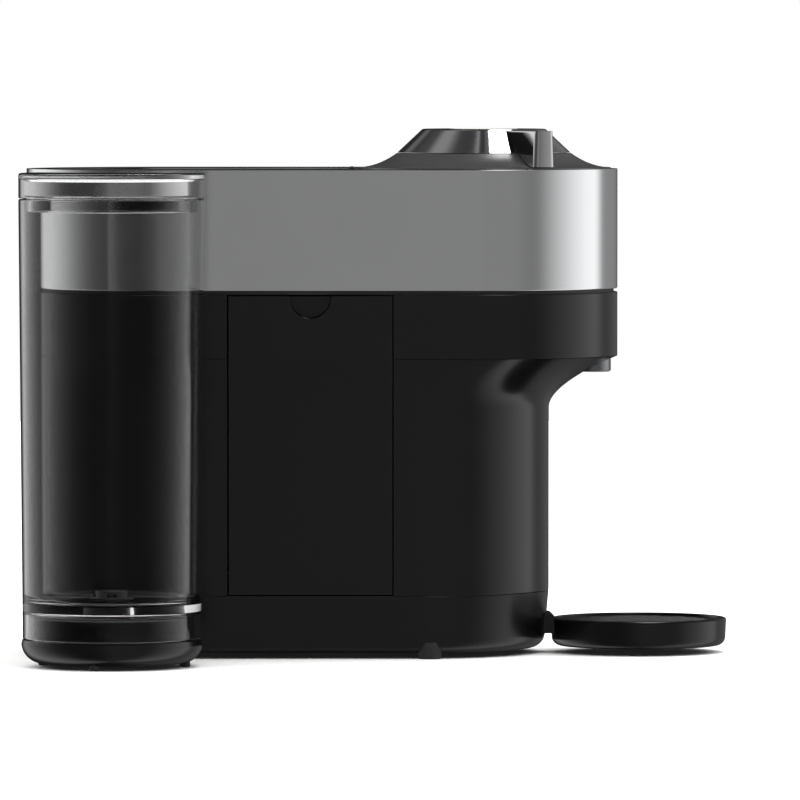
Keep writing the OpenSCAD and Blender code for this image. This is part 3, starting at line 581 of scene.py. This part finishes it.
def row_of_bars():
    """Rounded bars along X in a row along Step, their ends kept inside a circle of radius Reach."""
    tree = new_tree("row_of_bars", [
        ("Count", WHOLE, 6), ("Step", PLACE, (0, 0.007, 0)), ("Length", FLOAT, 0.03),
        ("Width", FLOAT, 0.003), ("Height", FLOAT, 0.002), ("Round", FLOAT, 0.0006),
        ("Reach", FLOAT, 10.0), ("Centre", PLACE, (0, 0, 0)), ("Material", STUFF, None)])
    source = add(tree, "NodeGroupInput").outputs
    outline = add(tree, "GeometryNodeCurvePrimitiveQuadrilateral", Width=source["Width"],
                  Height=source["Height"])
    soft = add(tree, "GeometryNodeFilletCurve", {"mode": "POLY"}, Curve=outline.outputs[0], Count=4,
               Radius=source["Round"])

    def maths(operation, first, second=0.5):
        return add(tree, "ShaderNodeMath", {"operation": operation}, _0=first, _1=second).outputs[0]

    half = maths("MULTIPLY", source["Length"], 0.5)
    other = maths("MULTIPLY", source["Length"], -0.5)
    start = add(tree, "ShaderNodeCombineXYZ", X=other)
    end = add(tree, "ShaderNodeCombineXYZ", X=half)
    line = add(tree, "GeometryNodeCurvePrimitiveLine", Start=start.outputs[0], End=end.outputs[0])
    bar = add(tree, "GeometryNodeCurveToMesh", Curve=line.outputs[0], Profile_Curve=soft.outputs[0],
              Fill_Caps=True)
    part = maths("MULTIPLY", maths("SUBTRACT", source["Count"], 1.0), -0.5)
    first = add(tree, "ShaderNodeVectorMath", {"operation": "SCALE"}, _0=source["Step"], Scale=part)
    row = add(tree, "GeometryNodeMeshLine", {"mode": "OFFSET"}, Count=source["Count"],
              Start_Location=first.outputs[0], Offset=source["Step"])
    here = add(tree, "ShaderNodeSeparateXYZ", Vector=add(tree, "GeometryNodeInputPosition").outputs[0])
    squared = maths("MULTIPLY", here.outputs["Y"], here.outputs["Y"])
    reach = maths("MULTIPLY", source["Reach"], source["Reach"])
    chord = maths("SQRT", maths("SUBTRACT", reach, squared))
    fitted = maths("MINIMUM", maths("DIVIDE", chord, half), 1.0)
    scale = add(tree, "ShaderNodeCombineXYZ", X=fitted, Y=1.0, Z=1.0)
    bars = add(tree, "GeometryNodeInstanceOnPoints", Points=row.outputs[0], Instance=bar.outputs[0],
               Scale=scale.outputs[0])
    moved = add(tree, "GeometryNodeTransform", Geometry=bars.outputs[0], Translation=source["Centre"])
    return close_tree(tree, moved.outputs[0], source)


def coil_spring():
    """A coil spring along the z axis."""
    tree = new_tree("coil_spring", [
        ("Turns", FLOAT, 4.0), ("Radius", FLOAT, 0.004), ("Height", FLOAT, 0.01), ("Wire", FLOAT, 0.0004),
        ("Centre", PLACE, (0, 0, 0)), ("Material", STUFF, None)])
    source = add(tree, "NodeGroupInput").outputs
    coil = add(tree, "GeometryNodeCurveSpiral", Resolution=40, Rotations=source["Turns"],
               Start_Radius=source["Radius"], End_Radius=source["Radius"], Height=source["Height"])
    wire = add(tree, "GeometryNodeCurvePrimitiveCircle", Resolution=10, Radius=source["Wire"])
    swept = add(tree, "GeometryNodeCurveToMesh", Curve=coil.outputs[0], Profile_Curve=wire.outputs[0],
                Fill_Caps=True)
    moved = add(tree, "GeometryNodeTransform", Geometry=swept.outputs[0], Translation=source["Centre"])
    return close_tree(tree, moved.outputs[0], source)


TREES = {"pins": ring_of_pins(), "bars": row_of_bars(), "coil": coil_spring()}


def grown(name, tree, inputs, material):
    """A piece made by one of the trees, as plain mesh. Sizes are in millimetres, counts are whole."""
    obj = mesh_object(name, [], [])
    step = obj.modifiers.new("grow", "NODES")
    step.node_group = TREES[tree]
    for item in step.node_group.interface.items_tree:
        if item.in_out == "INPUT" and item.name in inputs:
            value = inputs[item.name]
            if item.socket_type == FLOAT and item.name != "Turns":
                value = value * MM
            if item.socket_type == PLACE:
                value = [v * MM for v in value]
            step[item.identifier] = value
        if item.in_out == "INPUT" and item.name == "Material":
            step[item.identifier] = material
    obj.update_tag()
    baked(obj)
    tidy_mesh(obj.data)
    return obj


def join(obj, *others):
    """Adds the meshes of others to obj and removes them."""
    work = bmesh.new()
    for part in (obj, *others):
        work.from_mesh(part.data)
    work.to_mesh(obj.data)
    work.free()
    for part in others:
        bpy.data.objects.remove(part)
    return obj


# ---------- base ----------

def base_shell():
    low = box_mm("base_shell")[0].z
    radius, swivel = LOWER[0], middle("swivel_hub")
    taper, bend, floor, recess = 1.8, 7.0, 15.6, 13.2
    below, beyond, disc_r, bore_r = -5, 90, 58.5, 5
    hook_half, hook_low, hook_high = 11, 9, 19.8
    edge, inner = radius - taper, radius - WALL - 1
    profile = [(0, low)] + arc((edge - bend, low + bend), bend, -90, 0)
    profile += fillet([(radius, SEAM_BASE), (inner, SEAM_BASE), (inner, floor)], [0.4, 0, 0], 3)
    profile += [(0, floor)]
    shell = stadium_wall("base_shell_skin", LOWER, profile, steps=48)
    disc = turned("cut_swivel", section(0, disc_r, below, recess), swivel)
    yard = brick("cut_arm", (LOWER[1] - beyond, MID_Y - beyond, below),
                 (swivel.x + bore_r, MID_Y + beyond, recess))
    nose = LOWER[2] + LOWER[0]
    slot = brick("cut_hook", (nose - 12, MID_Y - hook_half, hook_low),
                 (nose + 4, MID_Y + hook_half, hook_high))
    bore = turned("cut_bore", section(0, bore_r, 0, 20), swivel, 32)
    combine(shell, [disc, yard, slot, bore])
    stands_for(soften(shell, 0.35, 2, 50), "base_shell")


def feet(name, centres, radius, high):
    """Round rubber feet with a softened lower edge."""
    outline = fillet(section(0, radius, 0, high), [0, 0.5, 0, 0], 4)
    return join(*[turned(f"{name}_{i}", outline, centre, 40) for i, centre in enumerate(centres)])


# ---------- body, cove and head ----------

def cove_share(z):
    return ((z - COVE[0]) / (COVE[1] - COVE[0])) ** COVE_POWER if z > COVE[0] else 0.0


def body_ring(z, inset=0.0):
    """Outline of the lower body and the cove at height z, as (radius, rear x, front x, z)."""
    share = cove_share(min(z, COVE[1]))
    radius = LOWER[0] + (HEAD[0] - LOWER[0]) * share
    rear = LOWER[1] + (HEAD[1] - LOWER[1]) * share
    front = LOWER[2] + (HEAD[2] - LOWER[2]) * share
    return radius - inset, rear, front, z


def bin_opening():
    return BIN[0].x - PANEL_GAP, BIN[1].x + PANEL_GAP


def body_skin():
    """Lower body and cove as one skin, open on the -Y side where the bin slides in."""
    edge, steps = 0.4, 26
    rings = [body_ring(SEAM_BASE, edge)]
    rings += [body_ring(SEAM_BASE + edge * (1 - math.cos(a)), edge * (1 - math.sin(a)))
              for a in (0.5, 1.0, 1.5)]
    rings += [body_ring(COVE[0] + (COVE[1] - COVE[0]) * (i / steps) ** 0.8) for i in range(steps + 1)]
    inner = LOWER[0] - WALL
    rings += [(inner, LOWER[1], LOWER[2], COVE[1]), (inner, LOWER[1], LOWER[2], SEAM_BASE)]
    points, faces = loft(rings, stadium_stations(56, bin_opening()), MID_Y, shut_path=False)
    skin = mesh_object("body_and_cove_skin", points, faces)
    vents = grown("cut_vents", "bars", {
        "Count": 6, "Step": (0, 0, 7), "Length": 32, "Width": 30, "Height": 3, "Round": 1.4, "Reach": 1000,
        "Centre": (middle("swivel_hub").x - 4, MID_Y + LOWER[0] - 2, 69)}, MATERIALS["body_plastic"])
    spout, gland = middle("spout"), middle("cable_gland")
    tip = box_mm("spout")[1].x
    throat = turned("cut_throat", section(0, SPOUT_R + 0.2, 100, 160),
                    Vector((tip - SPOUT_R, spout.y, 0)), 48)
    inlet = turned("cut_inlet", section(0, 7, -30, 30), Vector((0, 0, 0)), 48)
    inlet.data.transform(Matrix.Translation(gland * MM) @ Matrix.Rotation(math.radians(90), 4, "Y"))
    combine(skin, [vents, throat, inlet])
    stands_for(skin, "body_shell", "neck_cove", angle=40)


def head_skin():
    radius, low = HEAD[0], COVE[1]
    corners = [(radius, low), (radius, HEAD_TOP), (radius - WALL, HEAD_TOP), (radius - WALL, low)]
    profile = fillet(corners, [0.5, 0.5, 0.2, 0], 4)
    skin = stadium_wall("head_skin", HEAD, profile, bin_opening(), 56)
    stands_for(skin, "head_shell", angle=40)


def band_skin():
    radius = HEAD[0]
    corners = [(radius, BAND_LOW), (radius, DECK_TOP), (radius - 1.4, DECK_TOP), (radius - 1.4, BAND_LOW)]
    skin = stadium_wall("band_skin", HEAD, fillet(corners, [1.3, 0.15, 0.2, 0], 6), steps=64)
    stands_for(skin, "band")


def deck_plate():
    low, high = box_mm("deck")
    radius = (high.y - low.y) / 2
    profile = fillet(section(0, radius, low.z, high.z), [0, 0, 0.5, 0], 5)
    plate = stadium_wall("deck_plate", (radius, HEAD[1], HEAD[2]), profile, steps=64)
    hole = turned("cut_lid", section(0, LID_R + 0.5, *THROUGH), BREW, 160)
    hinge, half = middle("hinge_pin"), 23
    notch = brick("cut_notch", (hinge.x - 3, MID_Y - half, THROUGH[0]),
                  (hinge.x + 6, MID_Y + half, THROUGH[1]))
    combine(plate, [hole, notch])
    stands_for(soften(plate, 0.3, 2, 60), "deck")


def bin_drawer():
    """The bin: a panel that carries the body's side line and the cove, with a bucket behind it."""
    low, high = BIN
    steps, wall, notch_r, notch_drop = 20, 1.8, 9.6, 11

    def side(inset):
        ups = [low.z + inset] + [COVE[0] + (COVE[1] - COVE[0]) * (i / steps) for i in range(steps + 1)]
        return [(MID_Y - body_ring(z)[0] + inset, z) for z in ups]

    outer = side(0) + [(MID_Y - HEAD[0], high.z), (high.y, high.z), (high.y, low.z)]
    inner = side(wall) + [(MID_Y - HEAD[0] + wall, high.z + 5), (high.y - wall, high.z + 5),
                          (high.y - wall, low.z + wall)]
    drawer = prism_x("bin_drawer", outer, low.x, high.x)
    hollow = prism_x("cut_hollow", inner, low.x + wall, high.x - wall)
    combine(drawer, [hollow])
    centre = Vector(((low.x + high.x) / 2, MID_Y - HEAD[0], HEAD_TOP - notch_drop + notch_r))
    combine(drawer, [scoop("finger_cup", centre, 11.2, 1.0, 7.4, high.z - centre.z)], "UNION")
    combine(drawer, [scoop("cut_notch", centre, notch_r, -2, 5.8, 30)])
    stands_for(soften(drawer, 0.45, 3, 45), "capsule_bin", angle=35)


def scoop(name, centre, radius, near, far, up):
    """A half-round block standing open at the top, between two depths behind the panel's face."""
    outline = arc((centre.x, centre.z), radius, 180, 360, 32) + [(centre.x + radius, centre.z + up),
                                                                 (centre.x - radius, centre.z + up)]
    return prism_y(name, outline, centre.y + near, centre.y + far)


def spout_nozzle():
    low, high = box_mm("spout")
    bore, top, duct_half = 3.2, 147, 5.2
    centre = Vector((high.x - SPOUT_R, MID_Y, 0))
    corners = [(bore, low.z), (6.4, low.z + 1.2), (SPOUT_R - 1, low.z), (SPOUT_R, low.z + 0.6),
               (SPOUT_R, top), (bore, top)]
    nozzle = turned("spout_nozzle", fillet(corners, [0.4, 0.4, 0.5, 0.4, 0, 0], 4), centre, 72)
    duct = brick("spout_duct", (low.x, MID_Y - duct_half, 145), (centre.x + 4, MID_Y + duct_half, 151))
    riser = turned("spout_riser", section(2.8, 5.2, 150, high.z), Vector((low.x + 6, MID_Y, 0)), 40)
    join(nozzle, soften(duct, 0.6), riser)
    stands_for(nozzle, "spout")


# ---------- lid, knob and lever ----------

def flare_z(radius):
    """Height of the lid's top: a hollow curve that rises from the rim to the knob."""
    share = (radius - KNOB_R - 0.4) / (LID_R - KNOB_R - 0.4)
    return LID_EDGE + (KNOB_LOW - 0.3 - LID_EDGE) * (1 - share) ** 2


def lid_shell():
    inner, steps, floor = KNOB_R + 0.4, 24, 236
    slot_in, slot_out, sweep = 23.5, 27.5, 82
    radii = [LID_R - i / steps * (LID_R - inner) for i in range(2, steps + 1)]
    rim = [(LID_R - 0.5, LID_FOOT), (LID_R, LID_FOOT + 0.5), (LID_R, LID_EDGE - 0.14),
           (LID_R - 0.04, LID_EDGE - 0.04), (LID_R - 0.14, LID_EDGE)]
    below = [(inner, floor + 1.6), (6.4, floor + 1.6), (6.4, floor), (KNOB_R - 1.6, floor),
             (KNOB_R + 0.8, 234.8), (50, 231.2), (57, LID_FOOT + 1), (57, LID_FOOT)]
    shell = turned("lid_shell_skin", rim + [(r, flare_z(r)) for r in radii] + below, BREW, 144)
    slots = []
    for i, start in enumerate((20, 140, 260)):
        outline = arc((BREW.x, BREW.y), slot_out, start, start + sweep, 20)
        outline += arc((BREW.x, BREW.y), slot_in, start + sweep, start, 20)
        slots.append(slab(f"cut_slot_{i}", outline, 230, 240))
    lip = turned("lid_lip", fillet(section(34.6, 36.4, 236.6, 238.9), [0, 0, 0.4, 0.4], 4), BREW, 144)
    combine(shell, slots)
    stands_for(join(shell, lip), "lid_shell", angle=35)


def knob_cone():
    top = KNOB_TOP
    outer = [(14.4, top - 1.6), (16.4, top - 1.6), (16.4, top - 0.1), (16.9, top), (KNOB_FLAT_R - 1.2, top)]
    corner = [(KNOB_FLAT_R - 0.6, top - 0.08), (KNOB_FLAT_R - 0.1, top - 0.3),
              (KNOB_FLAT_R + 0.35, top - 0.75)]
    foot = [(KNOB_R - 0.05, KNOB_LOW + 0.1), (KNOB_R - 0.05, KNOB_LOW)]
    under = [(KNOB_R - 2.6, KNOB_LOW), (KNOB_FLAT_R - 1.2, top - 2.4), (14.4, top - 2.4)]
    cone = turned("knob_cone", outer + corner + foot + under, BREW, 144)
    stands_for(cone, "knob", angle=22)


def lever_fin():
    """A fin from inside the knob to the lid's rim, thinner at the top, its sides a little hollow."""
    reach, thick, edge, crest, gap = 60.0, 11.0, 2.2, 0.7, 0.5
    lean, hollow, heel = 0.13, 0.55, 232
    top, lever = box_mm("lever")[1].z, middle("lever")
    heading = math.atan2(lever.y - BREW.y, lever.x - BREW.x)
    root, floor, steps, slices = KNOB_FLAT_R - 1.2, KNOB_LOW + gap, 14, 24
    foot = [KNOB_R + 0.4 + (reach - KNOB_R - 0.4) * i / steps for i in range(steps + 1)]
    outline = [(root + (reach - root) * (1 - i / 10), top) for i in range(1, 11)]
    outline += [(root, floor), (KNOB_R + 0.2, floor)] + [(r, flare_z(r) + gap + 0.1) for r in foot]
    outline += [(reach, top - (top - heel) * (1 - i / 6)) for i in range(1, 7)]

    def drop(side, radius):
        """How far an edge of this radius falls away at a share of the half thickness."""
        past = max(0.0, abs(side) * thick / 2 - (thick / 2 - radius))
        return radius - math.sqrt(max(0.0, radius * radius - past * past))

    points, n = [], len(outline)
    for k in range(slices + 1):
        side = math.sin(math.pi * (k / slices - 0.5))
        for r, z in outline:
            along = (r - root) / (reach - root)
            slim = 1 - lean * max(0.0, z - heel) / (top - heel)
            across = side * (thick / 2 * slim - hollow * math.sin(math.pi * along))
            out = r - drop(side, edge) * along ** 6
            points.append((math.sqrt(out * out - across * across), across, min(z, top - drop(side, crest))))
    faces = [(k * n + i, k * n + (i + 1) % n, (k + 1) * n + (i + 1) % n, (k + 1) * n + i)
             for k in range(slices) for i in range(n)]
    faces += [list(range(n)), [slices * n + i for i in reversed(range(n))]]
    fin = mesh_object("lever_fin", points, faces)
    stand_at(fin, BREW, heading)
    stands_for(fin, "lever", angle=50)


def brew_button():
    low, high = box_mm("brew_button")
    radius, skirt = (high.x - low.x) / 2, 246.6
    top = [(radius, skirt), (radius, high.z - 0.9)] + arc((radius - 0.8, high.z - 0.8), 0.8, 0, 90, 5)
    dish = [(radius - 2.4 - i * 1.4, high.z - 0.35 * math.sin(math.pi * (i + 1) / 16)) for i in range(8)]
    stem = [(0, high.z - 0.35), (0, low.z), (5.6, low.z), (5.6, skirt)]
    stands_for(turned("brew_button_cap", top + dish + stem, BREW, 96), "brew_button")


def light_ring():
    low, high = box_mm("light_ring")
    outline = fillet(section(14.4, 16.4, low.z, high.z), [0, 0, 0.3, 0.3], 4)
    stands_for(turned("light_ring_lens", outline, BREW, 96), "light_ring")


def piercing_plate():
    """Pressed steel plate with a ring of fine needles and drain holes."""
    under, face, collar = 224.2, 225.8, 228.2
    corners = [(6.6, under), (29.4, under), (29.4, face), (10, face), (10, collar), (6.6, collar)]
    plate = turned("piercing_disc", fillet(corners, [0.2, 0.5, 0.5, 0.6, 0.4, 0.2], 4), BREW, 96)
    holes = grown("cut_drains", "pins", {
        "Count": 6, "Ring Radius": 18, "Root Radius": 2.2, "Tip Radius": 2.2, "Length": 12,
        "Centre": (BREW.x, BREW.y, 220)}, MATERIALS["spout_steel"])
    combine(plate, [holes])
    needles = grown("needles", "pins", {
        "Count": 20, "Ring Radius": 26, "Root Radius": 0.25, "Tip Radius": 0.9, "Length": 1.7,
        "Centre": (BREW.x, BREW.y, 222.7)}, MATERIALS["spout_steel"])
    stands_for(join(plate, needles), "piercing_plate")


# ---------- tank, its lid and its carrier ----------

def water_tank():
    low, high = box_mm("water_tank")
    rim_r, foot_r = (high.x - low.x) / 2, 41.6
    wall, under, floor, neck, valve_r = 1.7, 26.2, 29.5, 215, 8.6
    inner_foot = foot_r - wall + 0.1
    corners = [(39.5, low.z), (foot_r, low.z), (rim_r, neck), (rim_r, high.z), (rim_r - wall, high.z),
               (rim_r - wall, neck), (inner_foot, floor), (valve_r, floor), (valve_r, under), (39.2, under)]
    radii = [0.5, 0.6, 6, 0.7, 0.7, 6, 5.0, 0, 0, 1.5]
    shell = turned("water_tank_wall", fillet(corners, radii, 7), TANK, 144)
    stands_for(shell, "water_tank", angle=50)


def tank_cap():
    """Clear cap with a skirt over a bright ring."""
    low, high = box_mm("tank_lid")
    radius, under, skirt, slot_low, slot_high = (high.x - low.x) / 2, high.z - 2.6, 218.6, 219.3, 227.3
    corners = [(0, under), (36.6, under), (36.6, skirt), (37.8, skirt), (37.8, low.z), (40.0, low.z),
               (40.0, slot_low), (38.4, slot_low), (38.4, slot_high), (41.4, slot_high), (41.4, skirt - 0.2),
               (radius, skirt - 0.2), (radius, high.z), (0, high.z)]
    radii = [0, 0.6, 0.2, 0.2, 0.4, 0.4, 0.2, 0.2, 0.3, 0.3, 0.3, 0.5, 1.1, 0]
    cap = turned("tank_cap_clear", fillet(corners, radii, 5), TANK, 144)
    stands_for(cap, "tank_lid", angle=40)


def tank_ring():
    corners = [(38.6, 219.6), (41.1, 219.6), (41.1, 226.3), (40.4, 227.1), (38.6, 227.1)]
    ring = turned("tank_ring_bright", fillet(corners, [0.2, 0.4, 0.5, 0.3, 0.2], 5), TANK, 144)
    stands_for(ring, "tank_lid_ring", angle=30)


def tank_carrier():
    """Round dish and plinth under the tank, and the arm to the turntable under the body."""
    low, high = box_mm("tank_carrier")
    swivel = middle("swivel_hub")
    dish = [(0, low.z)] + arc((32.5, 11.6), 9.8, -90, -4, 14) + [(41.9, 12.6), (41.75, 12.9), (41.4, 13.0)]
    plinth = [(38.7, 13.0), (38.4, high.z - 2.4)] + arc((36.0, high.z - 2.4), 2.4, 0, 90, 8)
    well = [(11.4, high.z), (11, high.z - 0.4), (11, 17), (2.2, 17), (2.2, 22.4), (2.0, 22.6), (0, 22.6)]
    body = turned("tank_carrier_body", dish + plinth + well, Vector((TANK.x, TANK.y, 0)), 144)
    table = fillet(section(14.4, 57, 3.2, 12.6), [0.5, 2, 1, 0.5], 5)
    disc = turned("carrier_disc", table, swivel, 144)
    along = Vector((TANK.x - swivel.x, TANK.y - swivel.y))
    reach, heading = along.length, math.atan2(along.y, along.x)
    inset, half = 20, 15
    arm = slab("carrier_arm", section(inset, reach - inset, -half, half), 4, 12.4)
    stand_at(arm, swivel, heading)
    soften(arm, 1.0, 3)
    combine(body, [disc, arm], "UNION")
    stands_for(body, "tank_carrier", angle=35)


def carrier_feet():
    swivel = middle("swivel_hub")
    heading = math.degrees(math.atan2(TANK.y - swivel.y, TANK.x - swivel.x))

    def around(centre, radius, turn):
        angle = math.radians(heading + turn)
        return Vector((centre.x + radius * math.cos(angle), centre.y + radius * math.sin(angle), 0))

    small = feet("carrier_feet_pads", [around(TANK, 34, a) for a in (0, 97, -97)], 2.6, 4)
    large = feet("turntable_pads", [around(swivel, 46, a) for a in (100, -100)], 5, 5)
    stands_for(join(small, large), "carrier_feet")


def body_feet():
    low, high = box_mm("base_feet")
    radius = 5.5
    centres = [Vector((high.x - radius, y, 0)) for y in (low.y + radius, high.y - radius)]
    pads = feet("body_feet_pads", centres, radius, 8)
    ring = turned("hub_pad", fillet(section(6, 13, 0, 3), [0.4, 0.6, 0, 0], 4), middle("swivel_hub"), 64)
    stands_for(join(pads, ring), "base_feet")


# ---------- cup stand ----------

def cup_stand():
    low, high = box_mm("drip_tray")
    radius, top = (high.y - low.y) / 2, 16.6
    seat_r, well_r, seat, floor = 38.6, 36.6, 13.4, 5.4
    corners = [(0, low.z), (radius - 0.6, low.z), (radius, top), (seat_r, top), (seat_r, seat),
               (well_r, seat), (well_r, floor), (0, floor)]
    tray = turned("cup_stand_dish", fillet(corners, [0, 4.2, 1.1, 0.6, 0.2, 0.4, 1.5, 0], 8), STAND, 144)
    rear = STAND.x - radius
    outline = [(rear - 10, 9.4), (rear + 3, 9.4), (rear + 3, top - 1), (rear - 0.5, 19.2), (rear - 10, 19.4)]
    hook = prism_y("stand_hook", outline, MID_Y - 10.4, MID_Y + 10.4)
    combine(tray, [soften(hook, 0.6)], "UNION")
    stands_for(tray, "drip_tray", angle=35)


def drip_grid():
    """A rim with rounded bars across it."""
    low, high = box_mm("drip_grid")
    radius = (high.x - low.x) / 2
    inner = 32.6
    rim = fillet(section(inner, radius, low.z, high.z), [0.3, 0.3, 0.5, 0.5], 4)
    grid = turned("drip_grid_rim", rim, STAND, 120)
    bars = grown("drip_grid_bars", "bars", {
        "Count": 10, "Step": (0, 7, 0), "Length": 2 * (inner + 0.6), "Width": 3.8, "Height": 1.9,
        "Round": 0.5, "Reach": inner + 0.8,
        "Centre": (STAND.x, STAND.y, (low.z + high.z) / 2)}, MATERIALS["base_plastic"])
    stands_for(join(grid, bars), "drip_grid")


# ---------- springs ----------

def springs():
    """Coils for the two springs that deform."""
    for name, node, wire in (("button_coil", "button_spring", 0.5), ("valve_coil", "valve_spring", 0.4)):
        low, high = box_mm(node)
        radius = (high.x - low.x) / 2 - wire
        coil = grown(name, "coil", {
            "Turns": 4.5, "Radius": radius, "Height": high.z - low.z - 2 * wire, "Wire": wire,
            "Centre": ((low.x + high.x) / 2, (low.y + high.y) / 2, low.z + wire)}, MATERIALS["pin_steel"])
        stands_for(coil, node)


for build in (base_shell, body_skin, head_skin, band_skin, deck_plate, bin_drawer, spout_nozzle, lid_shell,
              knob_cone, lever_fin, brew_button, light_ring, piercing_plate, water_tank, tank_cap, tank_ring,
              tank_carrier, carrier_feet, body_feet, cup_stand, drip_grid, springs):
    build()


# ---------- floor, light and camera ----------

def pale_floor():
    radius = 3000
    turn = [math.radians(a) for a in range(0, 360, 4)]
    rim = [(radius * math.cos(a), radius * math.sin(a), 0) for a in turn]
    floor = mesh_object("pale_floor", rim, [range(len(rim))])
    floor.visible_glossy = False
    floor.visible_transmission = False
    paper = surface("pale_studio_paper", "#f4f4f3", "#f1f1f0", 0.85, 2.0, 0.02, 300, 0.05)
    floor.data.materials.append(paper)


def softbox(name, place, target, size, strength):
    """A rectangular light that only surfaces see."""
    lamp = bpy.data.lights.new(name, "AREA")
    lamp.shape, lamp.size, lamp.size_y = "RECTANGLE", size[0], size[1]
    lamp.energy = strength * size[0] * size[1] * math.pi
    obj = bpy.data.objects.new(name, lamp)
    bpy.context.scene.collection.objects.link(obj)
    obj.location = place
    obj.rotation_euler = (Vector(target) - Vector(place)).to_track_quat("-Z", "Y").to_euler()
    obj.visible_camera = False
    obj.visible_transmission = False


# Brightness of the studio round the horizon: degrees from the camera towards the front, and strength
HORIZON = [(-180, 0.02), (-160, 0.03), (-148, 0.6), (-140, 1.0), (-119, 0.95), (-108, 0.8), (-97, 0.6),
           (-88, 0.42), (-80, 0.28), (-71, 0.17), (-64, 0.11), (-50, 0.07), (-22, 0.08), (-9, 0.14),
           (0, 0.26), (10, 0.24), (33, 0.24), (45, 0.2), (52, 0.22), (60, 0.36), (70, 0.56), (84, 0.82),
           (100, 1.06), (114, 1.14), (120, 0.75), (125, 0.36), (131, 0.27), (150, 0.25), (162, 0.2),
           (170, 0.08), (180, 0.02)]
# The same for directions well above the horizon
CEILING = [(-180, 0.05), (-146, 0.06), (-136, 0.09), (-130, 0.3), (-124, 0.3), (-118, 0.07), (-105, 0.02),
           (-60, 0.008), (60, 0.008), (120, 0.1), (150, 0.14), (180, 0.05)]
BRIGHTEST = 1.14


def ring_colours(tree, share, stops):
    """A grey colour ramp round the horizon from a list of (degrees, strength)."""
    ring = add(tree, "ShaderNodeValToRGB", Fac=share)
    elements = ring.color_ramp.elements
    for _ in stops[1:-1]:
        elements.new(0.5)
    for element, (turn, strength) in zip(elements, stops):
        element.position = (turn + 180) / 360
        element.color = [strength / BRIGHTEST] * 3 + [1]
    return ring.outputs["Color"]


def studio():
    """White for the eye; for reflections a grey horizon with a soft window in front and a dark ceiling."""
    world = bpy.data.worlds.new("studio")
    bpy.context.scene.world = world
    world.use_nodes = True
    tree = world.node_tree
    tree.nodes.clear()
    towards = add(tree, "ShaderNodeSeparateXYZ", Vector=add(tree, "ShaderNodeTexCoord").outputs["Generated"])
    back = add(tree, "ShaderNodeMath", {"operation": "MULTIPLY"}, _0=towards.outputs["Y"], _1=-1.0)
    angle = add(tree, "ShaderNodeMath", {"operation": "ARCTAN2"}, _0=towards.outputs["X"], _1=back.outputs[0])
    share = add(tree, "ShaderNodeMapRange", Value=angle.outputs[0], From_Min=-math.pi, From_Max=math.pi)
    height = add(tree, "ShaderNodeMapRange", Value=towards.outputs["Z"], From_Min=0.3, From_Max=0.55)
    level = add(tree, "ShaderNodeMixRGB", Fac=height.outputs[0],
                Color1=ring_colours(tree, share.outputs[0], HORIZON),
                Color2=ring_colours(tree, share.outputs[0], CEILING))
    dim = add(tree, "ShaderNodeBackground", Color=level.outputs[0], Strength=BRIGHTEST)
    white = add(tree, "ShaderNodeBackground", Color=linear("#ffffff"), Strength=1.0)
    path = add(tree, "ShaderNodeLightPath")
    both = add(tree, "ShaderNodeMixShader", _0=path.outputs["Is Camera Ray"], _1=dim.outputs[0],
               _2=white.outputs[0])
    add(tree, "ShaderNodeOutputWorld", Surface=both.outputs[0])
    sun = bpy.data.lights.new("ceiling", "SUN")
    sun.energy, sun.angle = 6.0, math.radians(140)
    ceiling = bpy.data.objects.new("ceiling", sun)
    bpy.context.scene.collection.objects.link(ceiling)
    ceiling.visible_glossy = False
    softbox("top_strip", (0.36, 0.0, 1.7), (0.36, 0, 0), (0.42, 1.6), 6.0)


def camera():
    eye_distance, eye_height, film_mm, lens_mm = 4.8, 0.29, 36.0, 453.0
    look = Vector((0.0111, MID_Y * MM, 0.1203))
    cam = bpy.data.cameras.new("camera")
    cam.lens, cam.sensor_width = lens_mm, film_mm
    cam.clip_start, cam.clip_end = 0.1, 50
    obj = bpy.data.objects.new("camera", cam)
    bpy.context.scene.collection.objects.link(obj)
    obj.location = (look.x, look.y - eye_distance, eye_height)
    obj.rotation_euler = (look - obj.location).to_track_quat("-Z", "Y").to_euler()
    bpy.context.scene.camera = obj


pale_floor()
studio()
camera()
bpy.context.scene.view_settings.view_transform = "Standard"
